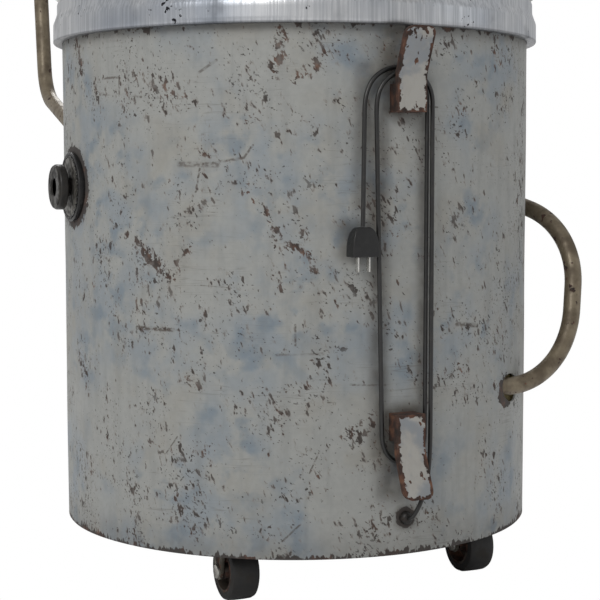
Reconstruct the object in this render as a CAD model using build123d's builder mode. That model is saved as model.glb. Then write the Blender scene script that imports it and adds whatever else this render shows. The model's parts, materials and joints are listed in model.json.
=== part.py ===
from build123d import *
import os
from math import asin, cos, degrees, pi, radians, sin, sqrt, tan

# Electric pressure canner on casters. Millimetres, +Z up, origin on the drum's axis at floor level.
# -Y is the side with the cord hooks, -X the dial, +Y the push handle.
# Azimuths are in degrees about +Z, from -Y towards +X.

# ---- casing ----
casing_r = 275.0
casing_sheet = 1.5
ground_gap = 58.0
side_h = 555.5          # casing side in view, from its lower edge to the collar
hem_h = 8.0
hem_turn = 1.5

# ---- collar ----
collar_sheet = 2.0
lip_out = 10.5          # how far the lip stands out from the casing
lip_h = 21.5
flare_h = 11.0
band_out = 6.0
band_h = 12.0
shoulder = 5.0

# ---- vessel ----
vessel_r = 238.0
vessel_wall = 5.0
vessel_floor = 6.0
vessel_bottom_z = 150.0
vessel_corner = 18.0
flange_r = 262.0
flange_h = 18.0

# ---- clamps ----
clamp_count = 6
clamp_first_az = 6.0
pin_r = 4.5
pin_out = 15.0          # pivot pins stand out from the flange's rim
ear_r = 9.0
ear_t = 7.0
bolt_eye_r = 8.5
bolt_eye_t = 14.0
shank_r = 6.0
shank_l = 72.0
rest_lean = 60.0        # a slack swing bolt leans out by this much
nut_boss_r = 11.0
nut_boss_h = 12.0
wing_span = 26.0
wing_t = 6.0
wing_h = 20.0

# ---- lid ----
gasket_h = 4.0
gasket_w = 13.0
gasket_in = 4.0
lid_rim_h = 12.0
lid_ear_h = 20.0
lid_ear_w = 36.0
lid_ear_out = 16.0      # ears reach past the pivot circle
lid_wall = 5.0
dome_rise = 62.0
spigot_h = 10.0
spigot_gap = 3.0
grip_r = 7.5
grip_foot_r = 165.0
grip_half = 62.0
grip_rise = 52.0
grip_bend = 20.0
grip_pad_r = 15.0
grip_pad_h = 6.0

# ---- fittings on the lid ----
gauge_r = 40.0
gauge_depth = 26.0
gauge_wall = 2.5
gauge_stem_r = 8.0
gauge_stem_h = 34.0
vent_x = -85.0
vent_y = -85.0
vent_r = 5.5
vent_h = 34.0
vent_nut_r = 11.0
vent_nut_h = 10.0
weight_r = 19.0
weight_h = 26.0
weight_cap = 9.0        # solid part of the weight above the vent pipe
plug_x = 85.0
safety_r = 8.0
safety_cap_r = 13.0
safety_cap_h = 9.0

# ---- base pan and casters ----
pan_z = 84.0
pan_t = 2.0
wheel_r = 32.5
wheel_w = 33.0
tyre_w = 32.0
rim_r = 23.5
rim_wall = 3.0
web_t = 8.0
hub_r = 8.5
axle_r = 4.0
axle_head_r = 7.5
axle_head_h = 3.0
arm_t = 3.0
arm_gap = 1.5
arm_end_r = 9.0
plate_t = 3.0
plate_x = 66.0
plate_y = 60.0
bolt_dx = 52.0
bolt_dy = 46.0
bolt_r = 3.0
bolt_head_r = 5.5
bolt_head_h = 4.0
rigid_x = 146.0
rigid_y = -168.0
swivel_x = 147.0
swivel_y = 147.0
trail = 22.0
kingpin_r = 6.0
kingpin_head_r = 9.0
crown_t = 4.0
race_r = 19.0
wheel_head_gap = 1.5    # between the wheel and the kingpin's head

# ---- cord hooks and cord ----
hook_w = 34.0
stem_w = 30.0
stem_h = 29.0
hook_gap = 16.0         # between casing and tongue
hook_len = 86.0
hook_t = 6.5
hook_flare = 19.5
hook_straight = 41.0    # length of the tongue before it leans out
hook_corner = 9.0
upper_hook_z = 523.5    # lower end of the upper hook
lower_hook_z = 210.5    # upper end of the lower hook
cord_r = 2.4
gland_z = 97.5
gland_x = 4.5
gland_r = 7.0
gland_neck = 1.5        # the gland's neck is smaller than its head by this much
plug_w = 31.0
plug_d = 18.0
plug_l = 31.0
plug_top_w = 18.0
plug_top_d = 11.0
blade_w = 6.35
blade_t = 1.52
blade_l = 15.9
blade_pitch = 12.7
blade_root = 8.0        # length of each blade inside the plug

# ---- dial ----
dial_z = 447.0
bezel_r = 39.0
bezel_t = 4.5
bezel_lip = 3.0
tooth_count = 40
tooth_h = 0.9
knob_r = 25.5
knob_t = 10.0
knob_neck_r = 10.0
knob_neck_l = 6.8
knob_dish_r = 10.0
knob_dish_h = 4.0
shaft_r = 4.0
thermostat_w = 48.0
thermostat_d = 22.0

# ---- bent pipe ----
pipe_r = 10.0
pipe_wall = 1.5
pipe_hole_h = 17.0
pipe_start_az = 34.4
pipe_start_z = 223.0
pipe_end_az = 71.2
pipe_end_z = 429.0
pipe_aim_r = 262.0      # the pipe's ends are aimed at this radius
pipe_extra = 20.0       # and run on by this much
pipe_hole_w = 12.5
union_r = 14.0
union_l = 70.0

# ---- push handle ----
tube_r = 10.0
tube_wall = 1.5
handle_half = 190.0
handle_z = 491.0
handle_bend_y = 440.0
handle_bend_z = 576.0
handle_top_y = 476.0
handle_top_z = 850.0
handle_radius = 62.0
socket_r = 14.5
socket_l = 26.0
socket_depth = 14.0
escutcheon_r = 25.0
escutcheon_t = 4.0

# ---- inside ----
element_r = 150.0
element_tube_r = 4.0
element_tail_x = 14.0
box_x = 60.0
box_y = 40.0
box_h = 44.0
rack_gap = 14.0
rack_t = 3.0
rack_foot_h = 12.0
rack_foot_r = 6.0
bail_r = 3.0
bail_h = 42.0
bail_half = 26.0
wool_gap = 2.0
wool_bottom = 160.0
wool_top = 640.0

# ---- clearances ----
seat = 0.05             # radial, pieces that are fitted and don't turn
running = 0.06          # radial, shafts that turn
face_gap = 0.4          # between faces that pass each other
thread_gap = 0.05

# ---- derived ----
casing_in = casing_r - casing_sheet
lip_r = casing_r + lip_out
band_r = casing_r + band_out
collar_z = ground_gap + side_h
collar_top = collar_z + lip_h + flare_h + band_h + shoulder
casing_top = collar_top - collar_sheet
flange_top = collar_top + flange_h
lid_z = flange_top + gasket_h
lid_ear_top = lid_z + lid_ear_h
dome_z = lid_z + lid_rim_h
vessel_in = vessel_r - vessel_wall
spigot_r = vessel_in - spigot_gap
pin_circle = flange_r + pin_out
pin_z = collar_top + ear_r + 1.5

os.makedirs("parts", exist_ok=True)


def around(azimuth, radius, z):
    a = radians(azimuth)
    return Vector(radius * sin(a), -radius * cos(a), z)


def radial_plane(azimuth, z=0.0, radius=0.0):
    """A plane whose x runs outwards at the azimuth and whose y runs up."""
    a = radians(azimuth)
    return Plane(
        origin=around(azimuth, radius, z),
        x_dir=(sin(a), -cos(a), 0),
        z_dir=(-cos(a), -sin(a), 0),
    )


def facing_plane(azimuth, radius, z):
    """A plane that faces outwards at the azimuth, with its y up."""
    a = radians(azimuth)
    return Plane(
        origin=around(azimuth, radius, z),
        x_dir=(cos(a), sin(a), 0),
        z_dir=(sin(a), -cos(a), 0),
    )


def save(part, name):
    part.label = name
    export_step(part, f"parts/{name}.step")


def ring(outer, inner, z0, z1):
    """A plain tube about +Z, for use inside a part."""
    with BuildSketch(Plane.XY.offset(z0)) as section:
        Circle(outer)
        Circle(inner, mode=Mode.SUBTRACT)
    extrude(section.sketch, amount=z1 - z0)


# ================= push handle route =================
handle_y = sqrt(casing_r**2 - handle_half**2)
handle_slope = Vector(0, handle_bend_y - handle_y, handle_bend_z - handle_z).normalized()
tube_end = Vector(handle_half, handle_y, handle_z) + handle_slope * (socket_l - socket_depth)


def handle_route():
    x0, y0, z0 = tube_end.X, tube_end.Y, tube_end.Z
    return [
        (-x0, y0, z0),
        (-x0, handle_bend_y, handle_bend_z),
        (-x0, handle_top_y, handle_top_z),
        (x0, handle_top_y, handle_top_z),
        (x0, handle_bend_y, handle_bend_z),
        (x0, y0, z0),
    ]


def tube(route, radii, outer, inner):
    """A bent tube along straight runs joined by tangent arcs."""
    with BuildLine() as path:
        FilletPolyline(*route, radius=radii)
    spine = path.wires()[0]
    with BuildSketch(Plane(origin=spine @ 0, z_dir=spine % 0)) as section:
        Circle(outer)
        if inner:
            Circle(inner, mode=Mode.SUBTRACT)
    sweep(sections=section.sketch, path=spine)
    return spine.length


with BuildPart() as push_handle:
    tube(handle_route(), handle_radius, tube_r, tube_r - tube_wall)
save(push_handle.part, "push_handle")

# ================= bent pipe =================
pipe_low = around(50.8, 327.5, 205.3)
pipe_high = around(58.7, 335.0, 397.8)
pipe_radii = [103.0, 104.0]


def run_on(start, corner):
    """The point beyond start on the line from corner."""
    return start + (start - corner).normalized() * pipe_extra


pipe_route = [
    run_on(around(pipe_start_az, pipe_aim_r, pipe_start_z), pipe_low),
    pipe_low,
    pipe_high,
    run_on(around(pipe_end_az, pipe_aim_r, pipe_end_z), pipe_high),
]

with BuildPart() as bent_pipe:
    tube(pipe_route, pipe_radii, pipe_r, pipe_r - pipe_wall)
save(bent_pipe.part, "bent_pipe")

# Each union joins the pipe's end to a port in the vessel's wall.
union_ends = [
    (pipe_route[0], (pipe_route[0] - pipe_route[1]).normalized()),
    (pipe_route[3], (pipe_route[3] - pipe_route[2]).normalized()),
]

with BuildPart() as pipe_unions:
    for end, way in union_ends:
        with BuildSketch(Plane(origin=end, z_dir=way)):
            RegularPolygon(union_r, 6)
        extrude(amount=union_l)
    with BuildSketch(Plane.XY.offset(vessel_bottom_z)):
        Circle(vessel_r + seat)
    extrude(amount=flange_top - vessel_bottom_z, mode=Mode.SUBTRACT)
save(pipe_unions.part, "pipe_unions")

# ================= casing shell =================
with BuildPart() as casing_shell:
    ring(casing_r, casing_in, ground_gap, casing_top)
    ring(casing_in + 0.2, casing_in - hem_turn, ground_gap, ground_gap + hem_h)
    fillet(casing_shell.edges().group_by(Axis.Z)[0], 0.6)
    for end, way in union_ends:
        across = Vector(0, 0, 1).cross(way)
        with BuildSketch(Plane(origin=end - way * 80, x_dir=across, z_dir=way)):
            Ellipse(pipe_hole_w, pipe_hole_h)
        extrude(amount=75, mode=Mode.SUBTRACT)
    with BuildSketch(Plane(origin=(gland_x, -casing_r - 10, gland_z), z_dir=(0, 1, 0))):
        Circle(gland_r - gland_neck)
    extrude(amount=20, mode=Mode.SUBTRACT)
    with BuildSketch(Plane(origin=(-casing_r - 10, 0, dial_z), z_dir=(1, 0, 0))):
        Circle(knob_neck_r)
    extrude(amount=20, mode=Mode.SUBTRACT)
    for side in (-1, 1):
        with BuildSketch(Plane(origin=(side * handle_half, handle_y - 20, handle_z), z_dir=(0, 1, 0))):
            Circle(socket_r - 4)
        extrude(amount=45, mode=Mode.SUBTRACT)
save(casing_shell.part, "casing_shell")

# ================= top collar =================
with BuildPart() as top_collar:
    with BuildSketch(Plane.XZ) as collar_profile:
        with BuildLine():
            Polyline(
                (casing_r + seat, collar_z),
                (lip_r, collar_z),
                (lip_r, collar_z + lip_h),
                (band_r, collar_z + lip_h + flare_h),
                (band_r, collar_top - shoulder),
                (band_r - shoulder, collar_top),
                (vessel_r + 4, collar_top),
                (vessel_r + 4, casing_top),
                (casing_r + seat, casing_top),
                (casing_r + seat, casing_top - shoulder),
                (band_r - collar_sheet, casing_top - shoulder - 2),
                (band_r - collar_sheet, collar_z + lip_h + flare_h),
                (lip_r - collar_sheet, collar_z + lip_h),
                (lip_r - collar_sheet, collar_z + collar_sheet),
                (casing_r + seat, collar_z + collar_sheet),
                close=True,
            )
        make_face()
        corners = collar_profile.vertices()
        flare_corners = corners.filter_by(
            lambda v: v.X > band_r - 0.1 and collar_z + 5 < v.Y < collar_top - shoulder - 1
        )
        shoulder_corners = corners.filter_by(
            lambda v: v.X > casing_r + 0.5 and v.Y > collar_top - shoulder - 0.1
        )
        fillet(flare_corners, 3.0)
        fillet(shoulder_corners, 2.5)
    revolve(axis=Axis.Z)
save(top_collar.part, "top_collar")

# ================= base pan =================
rigid_spots = [(-rigid_x, rigid_y), (rigid_x, rigid_y)]
swivel_spots = [(-swivel_x, swivel_y), (swivel_x, swivel_y)]
bolt_grid = [(dx, dy) for dx in (-bolt_dx / 2, bolt_dx / 2) for dy in (-bolt_dy / 2, bolt_dy / 2)]
bolt_spots = [(x + dx, y + dy) for x, y in rigid_spots + swivel_spots for dx, dy in bolt_grid]
hem_top = ground_gap + hem_h

with BuildPart() as base_pan:
    ring(casing_in - seat, 0.01, pan_z, pan_z + pan_t)
    ring(casing_in - seat, casing_in - seat - pan_t, hem_top, pan_z)
    with BuildSketch(Plane.XY.offset(pan_z)):
        with Locations(*bolt_spots):
            Circle(bolt_r + seat)
        Circle(12)
    extrude(amount=pan_t, mode=Mode.SUBTRACT)
save(base_pan.part, "base_pan")

# ================= pressure vessel =================
clamp_azimuths = [clamp_first_az + 360 / clamp_count * k for k in range(clamp_count)]
ear_inner = bolt_eye_t / 2 + face_gap

with BuildPart() as pressure_vessel:
    with BuildSketch(Plane.XZ) as vessel_profile:
        with BuildLine():
            Polyline(
                (0, vessel_bottom_z),
                (vessel_r, vessel_bottom_z),
                (vessel_r, collar_top),
                (flange_r, collar_top),
                (flange_r, flange_top),
                (vessel_in, flange_top),
                (vessel_in, vessel_bottom_z + vessel_floor),
                (0, vessel_bottom_z + vessel_floor),
                close=True,
            )
        make_face()
        low = vessel_profile.vertices().filter_by(
            lambda v: v.X > vessel_in - 1 and v.Y < vessel_bottom_z + 10
        )
        fillet(low.filter_by(lambda v: v.X > vessel_r - 0.1), vessel_corner)
        fillet(low.filter_by(lambda v: v.X < vessel_r - 0.1), vessel_corner - vessel_wall)
    revolve(axis=Axis.Z)
    for azimuth in clamp_azimuths:
        for side in (-1, 1):
            start = ear_inner if side > 0 else -ear_inner - ear_t
            with BuildSketch(radial_plane(azimuth).offset(start)):
                with Locations((pin_circle, pin_z)):
                    Circle(ear_r)
                with Locations((pin_circle - ear_r / 2 - 6, pin_z)):
                    Rectangle(ear_r + 12, 2 * ear_r)
                with Locations((pin_circle, pin_z)):
                    Circle(pin_r + seat, mode=Mode.SUBTRACT)
            extrude(amount=ear_t)
    with BuildSketch(Plane.XY.offset(vessel_bottom_z + vessel_floor)):
        Circle(vessel_in - 0.5)
    extrude(amount=flange_top - vessel_bottom_z, mode=Mode.SUBTRACT)
save(pressure_vessel.part, "pressure_vessel")

# ================= clamps =================
with BuildPart() as pivot_pins:
    for azimuth in clamp_azimuths:
        half = ear_inner + ear_t + 1.5
        with BuildSketch(radial_plane(azimuth).offset(-half)):
            with Locations((pin_circle, pin_z)):
                Circle(pin_r)
        extrude(amount=2 * half)
save(pivot_pins.part, "pivot_pins")

nut_base = sqrt(lid_ear_out**2 + (lid_ear_top - pin_z) ** 2) + face_gap

for number, azimuth in enumerate(clamp_azimuths, start=1):
    lean = radians(rest_lean)
    a = radians(azimuth)
    along = Vector(sin(a) * sin(lean), -cos(a) * sin(lean), cos(lean))
    pivot = around(azimuth, pin_circle, pin_z)
    shank_plane = Plane(origin=pivot, x_dir=(cos(a), sin(a), 0), z_dir=along)
    with BuildPart() as swing_bolt:
        with BuildSketch(radial_plane(azimuth).offset(-bolt_eye_t / 2)):
            with Locations((pin_circle, pin_z)):
                Circle(bolt_eye_r)
        extrude(amount=bolt_eye_t)
        with BuildSketch(shank_plane):
            Circle(shank_r)
        extrude(amount=shank_l)
        with BuildSketch(radial_plane(azimuth).offset(-bolt_eye_t / 2)):
            with Locations((pin_circle, pin_z)):
                Circle(pin_r + running)
        extrude(amount=bolt_eye_t, mode=Mode.SUBTRACT)
        chamfer(swing_bolt.faces().sort_by(Axis(pivot, along))[-1].edges(), 1.2)
    save(swing_bolt.part, f"swing_bolt_{number}")

    with BuildPart() as wing_nut:
        with BuildSketch(shank_plane.offset(nut_base)):
            Circle(nut_boss_r)
        extrude(amount=nut_boss_h)
        fillet(wing_nut.edges(), 1.2)
        across = Vector(cos(a), sin(a), 0)
        side_plane = Plane(origin=pivot + along * nut_base, x_dir=across, z_dir=along.cross(across))
        with BuildSketch(side_plane.offset(-wing_t / 2)):
            with BuildLine():
                up = 1 if side_plane.y_dir.dot(along) > 0 else -1
                Polyline(
                    (-8, up * 1.5),
                    (8, up * 1.5),
                    (wing_span, up * (wing_h - 9)),
                    (wing_span, up * wing_h),
                    (wing_span - 12, up * (wing_h + 2)),
                    (8, up * (nut_boss_h - 1)),
                    (-8, up * (nut_boss_h - 1)),
                    (12 - wing_span, up * (wing_h + 2)),
                    (-wing_span, up * wing_h),
                    (-wing_span, up * (wing_h - 9)),
                    close=True,
                )
            make_face()
        extrude(amount=wing_t)
        with BuildSketch(shank_plane.offset(nut_base - 1)):
            Circle(shank_r + thread_gap)
        extrude(amount=nut_boss_h + 14, mode=Mode.SUBTRACT)
    save(wing_nut.part, f"wing_nut_{number}")

# ================= lid =================
dome_radius = (vessel_r**2 + dome_rise**2) / (2 * dome_rise)


def dome_height(radius):
    """Height of the dome's outside at a distance from the axis."""
    return dome_z + dome_rise - dome_radius + sqrt(dome_radius**2 - radius**2)


vent_z = dome_height(sqrt(vent_x**2 + vent_y**2))
fitting_spots = [(0, 0, gauge_stem_r), (vent_x, vent_y, vent_r), (plug_x, vent_y, safety_r)]

with BuildPart() as lid_dome:
    with BuildSketch(Plane.XZ):
        with BuildLine():
            edge = Polyline((vessel_r, dome_z), (flange_r, dome_z), (flange_r, lid_z), (spigot_r, lid_z))
            spigot = Polyline(
                edge @ 1,
                (spigot_r, lid_z - gasket_h - spigot_h),
                (spigot_r - lid_wall, lid_z - gasket_h - spigot_h),
                (spigot_r - lid_wall, dome_height(spigot_r - lid_wall) - lid_wall),
            )
            inside = RadiusArc(spigot @ 1, (0, dome_z + dome_rise - lid_wall), -(dome_radius - lid_wall))
            Line(inside @ 1, (0, dome_z + dome_rise))
            RadiusArc((0, dome_z + dome_rise), edge @ 0, dome_radius)
        make_face()
    revolve(axis=Axis.Z)
    for azimuth in clamp_azimuths:
        with BuildSketch(Plane.XY.offset(lid_z)):
            ear_mid = (pin_circle + lid_ear_out + vessel_r) / 2
            with Locations(Location(around(azimuth, ear_mid, 0), (0, 0, azimuth))):
                Rectangle(lid_ear_w, pin_circle + lid_ear_out - vessel_r)
        extrude(amount=lid_ear_h)
        with BuildSketch(Plane.XY.offset(lid_z)):
            with Locations(around(azimuth, pin_circle, 0)):
                Circle(shank_r + 1)
            with Locations(Location(around(azimuth, pin_circle + lid_ear_out, 0), (0, 0, azimuth))):
                Rectangle(2 * shank_r + 2, 2 * lid_ear_out)
        extrude(amount=lid_ear_h, mode=Mode.SUBTRACT)
    for x, y, radius in fitting_spots:
        with BuildSketch(Plane.XY.offset(dome_z)):
            with Locations((x, y)):
                Circle(radius + seat)
        extrude(amount=dome_rise + 5, mode=Mode.SUBTRACT)
save(lid_dome.part, "lid_dome")

with BuildPart() as lid_gasket:
    ring(vessel_in + gasket_in + gasket_w, vessel_in + gasket_in, flange_top, lid_z)
save(lid_gasket.part, "lid_gasket")

with BuildPart() as lid_handles:
    for side in (-1, 1):
        x = side * grip_foot_r
        foot_z = dome_height(sqrt(grip_foot_r**2 + grip_half**2)) - 1.0
        top_z = foot_z + grip_rise
        tube(
            [(x, -grip_half, foot_z), (x, -grip_half, top_z), (x, grip_half, top_z), (x, grip_half, foot_z)],
            grip_bend, grip_r, 0,
        )
        with BuildSketch(Plane.XY.offset(foot_z - 10)):
            with Locations((x, -grip_half), (x, grip_half)):
                Circle(grip_pad_r)
        extrude(amount=grip_pad_h + 14)
    with BuildSketch(Plane.XZ):
        with BuildLine():
            dome_top = (0, dome_z + dome_rise + seat)
            RadiusArc(dome_top, (vessel_r, dome_z), dome_radius)
            Polyline((vessel_r, dome_z), (vessel_r, dome_z - 30), (0, dome_z - 30), dome_top)
        make_face()
    revolve(axis=Axis.Z, mode=Mode.SUBTRACT)
save(lid_handles.part, "lid_handles")

# ---- gauge, its face towards -Y ----
gauge_z = dome_z + dome_rise + gauge_stem_h + gauge_r
gauge_front = -gauge_depth / 2
front = Plane(origin=(0, gauge_front, gauge_z), x_dir=(1, 0, 0), z_dir=(0, -1, 0))

with BuildPart() as gauge_case:
    with BuildSketch(front.offset(-gauge_depth)):
        Circle(gauge_r)
    extrude(amount=gauge_depth)
    with BuildSketch(front.offset(-gauge_depth + gauge_wall)):
        Circle(gauge_r - gauge_wall)
    extrude(amount=gauge_depth, mode=Mode.SUBTRACT)
    with BuildSketch(Plane.XY.offset(dome_z + dome_rise - lid_wall)):
        Circle(gauge_stem_r)
    extrude(amount=gauge_stem_h + lid_wall + 1)
    with BuildSketch(Plane.XY.offset(dome_height(gauge_stem_r + 5) + 0.6)):
        RegularPolygon(gauge_stem_r + 5, 6)
    extrude(amount=12)
    with BuildSketch(front.offset(-gauge_depth + gauge_wall)):
        Circle(3)
    extrude(amount=gauge_wall * 2)
    with BuildSketch(front.offset(-gauge_depth + gauge_wall)):
        Circle(1.5)
    extrude(amount=15)
save(gauge_case.part, "gauge_case")

dial_back = -gauge_depth + gauge_wall * 3
with BuildPart() as gauge_dial:
    with BuildSketch(front.offset(dial_back)):
        Circle(gauge_r - gauge_wall - seat)
        Circle(1.5 + seat, mode=Mode.SUBTRACT)
    extrude(amount=1.5)
save(gauge_dial.part, "gauge_dial")

needle_back = dial_back + 1.5 + 1.0
with BuildPart() as gauge_needle:
    with BuildSketch(front.offset(needle_back)):
        Circle(4.5)
        with BuildLine():
            Polyline((3, -3), (-3, 3), (-21, -17), (-22, -22), (-17, -21), (3, -3))
        make_face()
        Circle(1.5 + running, mode=Mode.SUBTRACT)
    extrude(amount=1.6)
save(gauge_needle.part, "gauge_needle")

with BuildPart() as gauge_glass:
    with BuildSketch(front.offset(-4.5)):
        Circle(gauge_r - gauge_wall - seat)
    extrude(amount=3)
save(gauge_glass.part, "gauge_glass")

# ---- vent pipe, weight and safety plug ----
vent_top = vent_z + vent_h
with BuildPart() as vent_pipe:
    with BuildSketch(Plane.XY.offset(dome_z + 20)):
        with Locations((vent_x, vent_y)):
            Circle(vent_r)
    extrude(amount=vent_top - dome_z - 20)
    with BuildSketch(Plane.XY.offset(vent_z + 3)):
        with Locations((vent_x, vent_y)):
            RegularPolygon(vent_nut_r, 6)
    extrude(amount=vent_nut_h)
    with BuildSketch(Plane.XY.offset(dome_z)):
        with Locations((vent_x, vent_y)):
            Circle(2)
    extrude(amount=vent_top - dome_z, mode=Mode.SUBTRACT)
save(vent_pipe.part, "vent_pipe")

weight_z = vent_top + weight_cap - weight_h
with BuildPart() as regulator_weight:
    with BuildSketch(Plane.XY.offset(weight_z)):
        with Locations((vent_x, vent_y)):
            Circle(weight_r)
    extrude(amount=weight_h)
    chamfer(regulator_weight.edges().group_by(Axis.Z)[-1], 3)
    with BuildSketch(Plane.XY.offset(weight_z)):
        with Locations((vent_x, vent_y)):
            Circle(vent_r + running)
    extrude(amount=weight_h - weight_cap, mode=Mode.SUBTRACT)
save(regulator_weight.part, "regulator_weight")

safety_z = dome_height(sqrt(plug_x**2 + vent_y**2))
with BuildPart() as safety_plug:
    with BuildSketch(Plane.XY.offset(safety_z - 12)):
        with Locations((plug_x, vent_y)):
            Circle(safety_r)
    extrude(amount=17.5)
    with BuildSketch(Plane.XY.offset(safety_z + 5)):
        with Locations((plug_x, vent_y)):
            Circle(safety_cap_r)
    extrude(amount=safety_cap_h)
    fillet(safety_plug.edges().group_by(Axis.Z)[-1], 3)
save(safety_plug.part, "safety_plug")

# ================= jar rack =================
rack_z = vessel_bottom_z + vessel_floor + rack_foot_h
rack_r = vessel_in - rack_gap
with BuildPart() as jar_rack:
    with BuildSketch(Plane.XY.offset(rack_z)):
        Circle(rack_r)
        with PolarLocations(150, 12):
            Circle(18, mode=Mode.SUBTRACT)
        with PolarLocations(82, 6):
            Circle(18, mode=Mode.SUBTRACT)
        Circle(18, mode=Mode.SUBTRACT)
    extrude(amount=rack_t)
    with BuildSketch(Plane.XY.offset(rack_z - rack_foot_h)):
        with PolarLocations(rack_r - 30, 4, start_angle=45):
            Circle(rack_foot_r)
    extrude(amount=rack_foot_h)
    for side in (-1, 1):
        x = side * (rack_r - 14)
        tube(
            [(x, -bail_half, rack_z + 1), (x, -bail_half, rack_z + bail_h),
             (x, bail_half, rack_z + bail_h), (x, bail_half, rack_z + 1)],
            12, bail_r, 0,
        )
save(jar_rack.part, "jar_rack")

# ================= heating element and terminal box =================
element_z = vessel_bottom_z - element_tube_r - 1
box_back = -casing_in + 22
with BuildPart() as heating_element:
    with Locations((0, 0, element_z)):
        Torus(element_r, element_tube_r)
    for x in (-element_tail_x, element_tail_x):
        with BuildSketch(Plane(origin=(x, -element_r + 2, element_z), z_dir=(0, -1, 0))):
            Circle(element_tube_r - 0.5)
        extrude(amount=-box_back - box_y - element_r + 2)
save(heating_element.part, "heating_element")

with BuildPart() as terminal_box:
    with BuildSketch(Plane.XY.offset(vessel_bottom_z - 2 - box_h)):
        with Locations((0, box_back + box_y / 2)):
            Rectangle(box_x, box_y)
    extrude(amount=box_h)
    fillet(terminal_box.edges().filter_by(Axis.Z), 4)
save(terminal_box.part, "terminal_box")

# ================= insulation =================
with BuildPart() as insulation:
    ring(casing_in - wool_gap, vessel_r + wool_gap, wool_bottom, wool_top)
    for end, way in union_ends:
        with BuildSketch(Plane(origin=end - way * union_l, z_dir=way)):
            Circle(union_r + 6)
        extrude(amount=2 * union_l, mode=Mode.SUBTRACT)
    with BuildSketch(Plane(origin=(-casing_r, 0, dial_z), z_dir=(1, 0, 0))):
        Rectangle(thermostat_w + 12, thermostat_w + 12)
    extrude(amount=50, mode=Mode.SUBTRACT)
    for side in (-1, 1):
        with BuildSketch(Plane(origin=(side * handle_half, handle_y - 60, handle_z), z_dir=(0, 1, 0))):
            Circle(escutcheon_r)
        extrude(amount=90, mode=Mode.SUBTRACT)
save(insulation.part, "insulation")

# ================= cord hooks =================
def cord_hook(way, z0):
    """A stem block on the casing, and a tongue in front of it that leans out towards its free end."""
    inner_y = -casing_r - hook_gap
    with BuildSketch(Plane.YZ.offset(-stem_w / 2)) as stem:
        with BuildLine():
            Polyline(
                (-casing_r + 6, z0),
                (inner_y - 1, z0),
                (inner_y - 1, z0 + way * stem_h),
                (-casing_r + 6, z0 + way * stem_h),
                close=True,
            )
        make_face()
    extrude(stem.sketch, amount=stem_w)
    with BuildSketch(Plane.YZ.offset(-hook_w / 2)) as tongue:
        with BuildLine():
            Polyline(
                (inner_y, z0),
                (inner_y - hook_t, z0),
                (inner_y - hook_t, z0 + way * hook_straight),
                (inner_y - hook_t - hook_flare, z0 + way * hook_len),
                (inner_y - hook_flare, z0 + way * hook_len),
                (inner_y, z0 + way * hook_straight),
                close=True,
            )
        make_face()
    extrude(tongue.sketch, amount=hook_w)
    with BuildSketch(Plane.XY.offset(z0 - hook_len)) as drum:
        Circle(casing_r + seat)
    extrude(drum.sketch, amount=2 * hook_len, mode=Mode.SUBTRACT)


for name, way, z0 in (("upper_cord_hook", 1, upper_hook_z), ("lower_cord_hook", -1, lower_hook_z)):
    with BuildPart() as hook:
        cord_hook(way, z0)
        tip = hook.faces().sort_by(Axis.Z)[-1 if way > 0 else 0]
        fillet(tip.edges().filter_by(Axis.Y), hook_corner)
        front = hook.faces().filter_by(Axis.Y).sort_by(Axis.Y)[0]
        fillet(front.edges().filter_by(Axis.Z), 1.8)
    save(hook.part, name)

# ================= cord =================
cord_route = [
    (4.5, -282.0, 97.5),
    (5.8, -288.0, 99.3),
    (9.2, -291.3, 106.5),
    (15.0, -292.0, 117.5),
    (22.5, -290.5, 136.0),
    (27.3, -287.6, 165.0),
    (28.6, -285.8, 203.0),
    (29.3, -285.8, 546.0),
    (15.5, -285.8, 563.5),
    (-9.0, -285.6, 566.0),
    (-27.0, -285.0, 555.5),
    (-35.3, -284.0, 538.0),
    (-25.3, -279.3, 174.0),
    (-10.5, -279.5, 158.0),
    (10.5, -279.5, 157.5),
    (25.2, -279.5, 173.0),
    (26.5, -279.5, 550.0),
    (13.5, -279.5, 568.5),
    (-14.0, -279.5, 571.0),
    (-35.5, -279.0, 560.5),
    (-46.0, -279.0, 540.0),
    (-50.7, -284.5, 406.5),
]


def corner_radii(points):
    """The largest tangent arc that each corner's two runs allow."""
    radii = []
    for before, corner, after in zip(points, points[1:], points[2:]):
        run_in = Vector(corner) - Vector(before)
        run_out = Vector(after) - Vector(corner)
        half_turn = radians(run_in.get_angle(run_out)) / 2
        radii.append(0.45 * min(run_in.length, run_out.length) / tan(half_turn))
    return radii


cord_radii = corner_radii(cord_route)
with BuildPart() as power_cord:
    cord_length = tube(cord_route, cord_radii, cord_r, 0)
save(power_cord.part, "power_cord")
print("cord radii", [round(r, 1) for r in cord_radii])
print("cord length", round(cord_length, 1))
print("cord volume / section x length", round(power_cord.part.volume / (pi * cord_r**2 * cord_length), 4))

gland_end = cord_route[0][1]
with BuildPart() as cord_gland:
    with BuildSketch(Plane(origin=(gland_x, gland_end, gland_z), z_dir=(0, 1, 0))):
        Circle(gland_r)
    extrude(amount=-casing_in - gland_end)
    fillet(cord_gland.faces().sort_by(Axis.Y)[0].edges(), 2.5)
    with BuildSketch(Plane.XY.offset(gland_z - 2 * gland_r)):
        Circle(casing_r + seat)
    extrude(amount=4 * gland_r, mode=Mode.SUBTRACT)
    with BuildSketch(Plane(origin=(gland_x, gland_end + 3, gland_z), z_dir=(0, 1, 0))):
        Circle(gland_r - gland_neck - seat)
    extrude(amount=-casing_in - gland_end + 1)
save(cord_gland.part, "cord_gland")

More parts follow.
